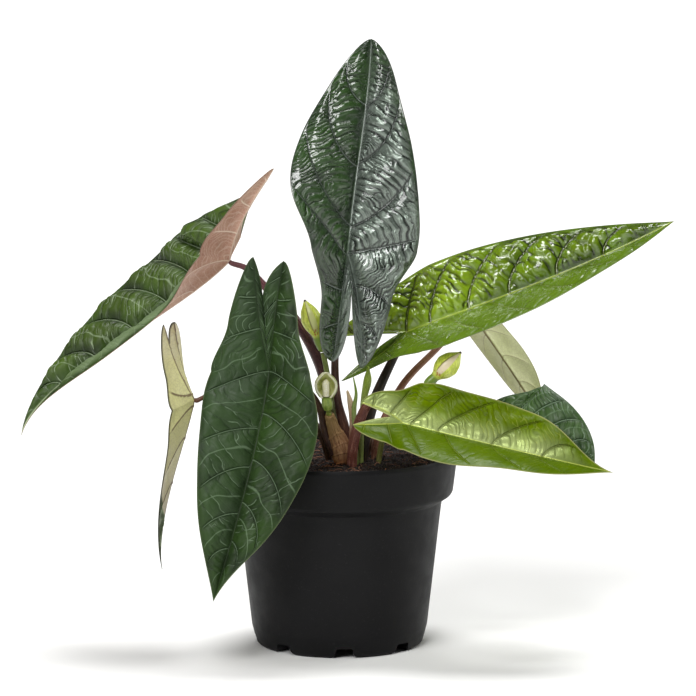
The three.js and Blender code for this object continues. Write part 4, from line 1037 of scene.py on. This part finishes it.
def make_hood():
    """The open hood: a thin sheet bent round the spike and leaning over it."""
    rows, columns = 44, 90
    v, a = np.linspace(0, 1, rows + 1)[:, None], np.linspace(-1, 1, columns + 1)[None]
    knots = np.linspace(0, 1, len(HOOD.radius))
    radius, forward = (np.interp(v, knots, HOOD[key]) for key in ("radius", "forward"))
    for line in (radius, forward) * 2:
        line[1:-1] = (line[:-2] + line[1:-1] * 2 + line[2:]) / 4
    angle = np.radians(HOOD.openness) * a * (1 - 0.2 * np.sin(np.pi * v) ** 0.8)
    x = HOOD.foot[0] + HOOD.lean[0] * v + radius * np.sin(angle)
    y = HOOD.foot[1] + HOOD.lean[1] * v - forward + radius * np.cos(angle)
    z = HOOD.foot[2] + HOOD.height * v + 0 * angle
    points = np.stack([x, y, z], -1).reshape(-1, 3)
    index = np.arange(len(points)).reshape(z.shape)
    faces = [tuple(f) for f in quads(index[:, :-1], index[:, 1:])[:, [0, 3, 2, 1]]]
    rim = np.minimum((1 - np.abs(a)) * np.radians(HOOD.openness) * radius, (1 - v) * HOOD.height).reshape(-1)
    thick = normals_of(points, faces) * (0.3 + 0.15 * np.exp(-((rim - 0.4) / 0.4) ** 2))[:, None]
    points, faces, slots = sheet(points, faces, thick, thick, 0)

    s = streaked("spathe_hood_skin", 0.15, 800, 0.4, 0.05, "#ccd68c", "#aab85e")
    s.paint(s.held("rim").fade(0.5, 1.6, 0.9), "#efedcf")
    # Painted light: the inside of the hood is painted much paler than its own colour, standing in for light
    # that reaches into it.
    painted_light_lining = Shader("spathe_hood_lining", specular=0.4)
    painted_light_lining.paint(painted_light_lining.noise(600, 3).ramp(0.35, 0.65), "#eef0b4", "#dde296")
    painted_light_lining.paint(painted_light_lining.held("rim").fade(0.3, 1.4, 0.9), "#e4e3bd")
    materials = [s.finish(500, 2, (0.38, 0.5)), painted_light_lining.finish(500, 2, (0.45, 0.6))]
    hood = mesh_object("bract_2_hood", points, faces, {"rim": np.tile(rim, 2)}, materials, slots)
    stands_for(hood, "spathe_2_hood", "spathe_hood")


def make_flowers():
    for name, spathe in SPATHES.items():
        closed_spathe(name, spathe)

    s = streaked("spathe_tube_skin", 0.2, 800, 0.3, 0.06, "#9db055", "#6d8a33")
    shape = lathe(*OPEN_TUBE, OPEN_TUBE_PROFILE, 48, 40)
    make_piece("bract_2_tube", "spathe_2_tube", "spathe_tube", s.finish(500, 2, (0.36, 0.48)), *shape)
    make_hood()

    def grains(radius, share, angle, length):
        along = share * length
        return radius + 0.09 * np.cos(angle * 8 + 3 * np.floor(along / GRAIN)) * np.cos(along * np.pi / GRAIN)

    s = Shader("spadix_skin", specular=0.4)
    s.paint(s.cells(1400, "F1").ramp(0.1, 0.6), "#f0ebcc", "#fffdf2")
    shape = lathe(*SPIKE, SPIKE_PROFILE, 64, 90, 1, grains)
    make_piece("flower_spike", "spadix_2", "spadix", s.finish(700, 2, (0.5, 0.65)), *shape)


def make_shoots():
    for name, (slot, ridges, skin, stations) in SHOOTS.items():
        make_stem(f"shoot_{name}", name, slot, stations, (28, 0.5, ridges, 1.5), skin)


def make_corm():
    points, faces, values = tube(CORM, 64, 0.45, 0.0, 0.1)
    rng = np.random.default_rng(5)
    turn = np.arctan2(values["side_y"], values["side_x"])
    along = values["along"]
    wrinkle = 0
    for n in (3, 5, 8, 13, 21):
        depth, shift, twist = rng.uniform(0.05, 0.12), rng.uniform(0, 6), rng.uniform(-0.08, 0.08)
        wrinkle = wrinkle + depth * np.sin(n * turn + shift + along * twist)
    coats = 0.28 * (np.sin(along * 0.9 + 1.2 * np.sin(turn * 2 + 1)) > 0.93)
    points = points + normals_of(points, faces) * (wrinkle + coats)[:, None]
    s = Shader("corm_skin", specular=0.3)
    s.space = upright_space(s, 0.03)
    fibres = s.noise(7, 5)
    share = s.held("share")
    s.paint(fibres.ramp(0.36, 0.64), "#b88c66", "#8f6446")
    s.paint(s.noise(26, 3).ramp(0.52, 0.7, 0.0, 0.4), "#d8bd94")
    s.paint(share.fade(0.18, 0.42, 0.75), "#a05a2a")
    s.paint(share.ramp(0.62, 0.98, 0.0, 0.65), "#8d7a4a")
    s.paint(s.noise(5, 4).fade(0.35, 0.5, 0.35), "#3a2418")
    s.bump(fibres, 0.12)
    make_piece("corm_skin", "corm", "corm_paper", s.finish(14, 3, (0.5, 0.75)), points, faces, values)


SOIL_TOP = 94
SOIL_RADIUS = 57.3
SOIL_BODY = ((55.4, 81), (50.2, 77.1), (42.2, 8.8), (39.9, 7.4))  # radii and heights below the surface
SOIL_LUMPS = ((3.4, 1.9, 0.5, 3), (1.35, 1.2, 0.45, 9))  # size, height, where it flattens and seed
SOIL_SINK = 0.45
FIBRE_COUNT = 330
FIBRE_POINTS = 5


def soil_height(x, y):
    r, a = np.hypot(x, y), np.arctan2(y, x)
    return SOIL_TOP + 0.7 * (np.sin(0.31 * r * np.cos(a) + 1) * np.cos(0.37 * r * np.sin(a))
                             + 0.5 * np.sin(0.8 * r * np.cos(a + 1)))


def make_soil():
    rings, sides = 118, 330
    r = SOIL_RADIUS * np.linspace(0, 1, rings + 1)[1:, None]
    a = angles(sides)[None]
    x, y = r * np.cos(a), r * np.sin(a)
    grains = [noise.noise(Vector((p, q, 0.3))) for p, q in zip((x * 0.9).ravel(), (y * 0.9).ravel())]
    z = soil_height(x, y) - SOIL_SINK + 0.7 * np.reshape(grains, x.shape)
    for size, height, flat, seed in SOIL_LUMPS:
        z = z + height * np.minimum(cell_edges(x / size, y / size, seed), flat)
    z = np.where(r > SOIL_RADIUS - 0.7, SOIL_TOP - 0.5, z)
    points = np.vstack([np.stack([x, y, z], -1).reshape(-1, 3), *(circle(*ring, sides) for ring in SOIL_BODY),
                        [0, 0, soil_height(0.0, 0.0)], [0, 0, SOIL_BODY[-1][1]]])
    s = Shader("soil_peat", specular=0.25)
    s.paint(s.noise(300, 5).ramp(0.35, 0.65), "#20100a", "#080403")
    s.paint(s.noise(420, 4, (1, 0.25, 1), 1.5).ramp(0.6, 0.68, 0.0, 0.45), "#5a3424")
    s.paint(s.cells(700, "F1").fade(0.05, 0.16, 0.4), "#5c3a2a")
    s.bump(s.noise(1100, 5), 0.5)
    skin = s.finish(900, 3, (0.45, 0.95), 0.35, 0.65)
    faces = ring_faces(rings + len(SOIL_BODY), sides, True)
    make_piece("soil_surface", "soil", "potting_soil", skin, points, faces)


def make_fibres():
    rng = np.random.default_rng(11)
    points, faces, shades = [], [], []
    for _ in range(FIBRE_COUNT):
        radius, angle = SOIL_RADIUS * 0.95 * math.sqrt(rng.random()), rng.uniform(0, 2 * np.pi)
        x, y = radius * math.cos(angle), radius * math.sin(angle)
        heading, bend, length = rng.uniform(0, 2 * np.pi), rng.uniform(-0.5, 0.5), rng.uniform(2.5, 8)
        thick, lift = rng.uniform(0.1, 0.28), rng.uniform(0.1, 0.9)
        stations = []
        for k in range(FIBRE_POINTS):
            heading += bend
            x += math.cos(heading) * length / FIBRE_POINTS
            y += math.sin(heading) * length / FIBRE_POINTS
            if math.hypot(x, y) > SOIL_RADIUS - 1.2:
                break
            z = soil_height(x, y) + 0.5 + lift * math.sin(math.pi * (k + 0.5) / FIBRE_POINTS)
            stations.append([x, y, z, thick * (1 - 0.12 * k)])
        if len(stations) < 3:
            continue
        strand, strand_faces, _ = tube(stations, 5, 0.9)
        faces += [[k + len(points) for k in face] for face in strand_faces]
        shades += [rng.random()] * len(strand)
        points += strand.tolist()
    s = Shader("soil_fibre", specular=0.4)
    s.paint(s.held("shade"), "#9a6a50", "#2a1710")
    skin = s.finish(800, 2, (0.5, 0.8))
    make_piece("soil_fibres", None, "potting_soil", skin, points, faces, {"shade": shades})


POT_SIDES = 192
POT_UNDERSIDE = [[0, 0], [9, 0], [10, 4.5], [33, 4.5], [34, 0]]
POT_OUTSIDE = [[40.8, 0], [42.3, 1.4], [44.6, 10], [51.6, 71], [52.2, 74.5], [56.8, 77.6], [57.6, 79],
               [60, 97.6], [59.3, 99.5]]
POT_INSIDE = [[58.6, 99.2], [56.2, 80.6], [50.8, 76.6], [42.6, 8.5], [40, 7], [0, 7]]
POT_CORNER = 0.7
POT_GAPS = 8  # the gaps between the feet, with a drain hole between each two
POT_GAP_TURN = 3.4
POT_GAP_SIDE = [[-7.4, 0], [-4.3, 0.6], [-4.3, 4.1]]  # curved, from the foot up
POT_GAP_TOP = [[-3.9, 4.8], [-3.3, 5.1]]
POT_GAP_REACH = (30.5, 48.5)
DRAIN_AT, DRAIN_RADIUS, DRAIN_SIDES = 24, 3, 32
DRAIN_HEIGHTS = (1.75, 9.75)


def rounded(section, radius):
    """The section with each inner corner replaced by a short curve."""
    p = np.asarray(section, float)
    out = [p[0]]
    for a, b, c in zip(p, p[1:], p[2:]):
        cut = min(radius, 0.42 * np.linalg.norm(a - b), 0.42 * np.linalg.norm(c - b))
        out.extend(bezier([b + unit(a - b) * cut, b, b + unit(c - b) * cut], np.linspace(0, 1, 5)))
    return np.array([*out, p[-1]])


def pot_cutter():
    """The gaps between the feet, arched at the top, and the drain holes, as prisms."""
    side = bezier(POT_GAP_SIDE, np.linspace(0, 1, 11)).tolist()
    arch = [[side[0][0], -2], *side, *POT_GAP_TOP]
    arch += [[-x, z] for x, z in arch[::-1]]
    turns = [2 * math.pi * j / DRAIN_SIDES for j in range(DRAIN_SIDES)]
    points, faces = [], []
    for k in range(POT_GAPS):
        angle = math.radians(POT_GAP_TURN + 360 / POT_GAPS * k - 90)
        c, s = math.cos(angle), math.sin(angle)
        gap = [[c * depth - s * x, s * depth + c * x, z] for depth in POT_GAP_REACH for x, z in arch]
        angle += math.pi / POT_GAPS
        x, y = DRAIN_AT * math.cos(angle), DRAIN_AT * math.sin(angle)
        hole = [[x + DRAIN_RADIUS * math.cos(turn), y + DRAIN_RADIUS * math.sin(turn), z]
                for z in DRAIN_HEIGHTS for turn in turns]
        for prism in (gap, hole):
            base, n = len(points), len(prism) // 2
            points += prism
            faces += [(base + j, base + (j + 1) % n, base + n + (j + 1) % n, base + n + j) for j in range(n)]
            faces += [tuple(range(base + n - 1, base - 1, -1)), tuple(range(base + n, base + 2 * n))]
    return mesh_object("pot_cutter", points, faces)


def make_pot():
    section = rounded([*POT_UNDERSIDE, *POT_OUTSIDE, *POT_INSIDE], POT_CORNER)
    points = np.vstack([*(circle(*ring, POT_SIDES) for ring in section[1:-1]), [0, 0, 0], [0, 0, 7]])
    pot = mesh_object("pot_shell", points, ring_faces(len(section) - 2, POT_SIDES))
    cutter = pot_cutter()
    for mesh in (pot.data, cutter.data):
        outward = bmesh.new()
        outward.from_mesh(mesh)
        bmesh.ops.recalc_face_normals(outward, faces=outward.faces)
        outward.to_mesh(mesh)
        outward.free()
    cut = pot.modifiers.new("cut", "BOOLEAN")
    cut.operation = "DIFFERENCE"
    cut.solver = "EXACT"
    cut.object = cutter
    bpy.context.view_layer.update()
    mesh = bpy.data.meshes.new_from_object(pot.evaluated_get(bpy.context.evaluated_depsgraph_get()))
    pot.modifiers.clear()
    pot.data = mesh
    bpy.data.objects.remove(cutter)
    mesh.polygons.foreach_set("use_smooth", np.ones(len(mesh.polygons), bool))
    mesh.set_sharp_from_angle(angle=math.radians(32))
    s = Shader("pot_plastic", specular=0.12)
    s.paint(s.noise(30, 4).ramp(0.3, 0.7), "#141415", "#0f0f10")
    s.paint(s.noise(900, 2).ramp(0.62, 0.75, 0.0, 0.3), "#2c2c2d")
    s.bump(s.noise(1500, 3), 0.05)
    mesh.materials.clear()
    mesh.materials.append(s.finish(120, 3, (0.46, 0.56)))
    stands_for(pot, "pot", "pot_plastic")


make_camera()
make_studio()
for name, leaf in LEAVES.items():
    under = Values(UNDER_COMMON, **UNDER_LOOKS.get(name, {}))
    make_leaf(name, leaf, Values(COMMON, **LOOKS[name]), under)
make_stems()
make_flowers()
make_shoots()
make_corm()
make_soil()
make_fibres()
make_pot()
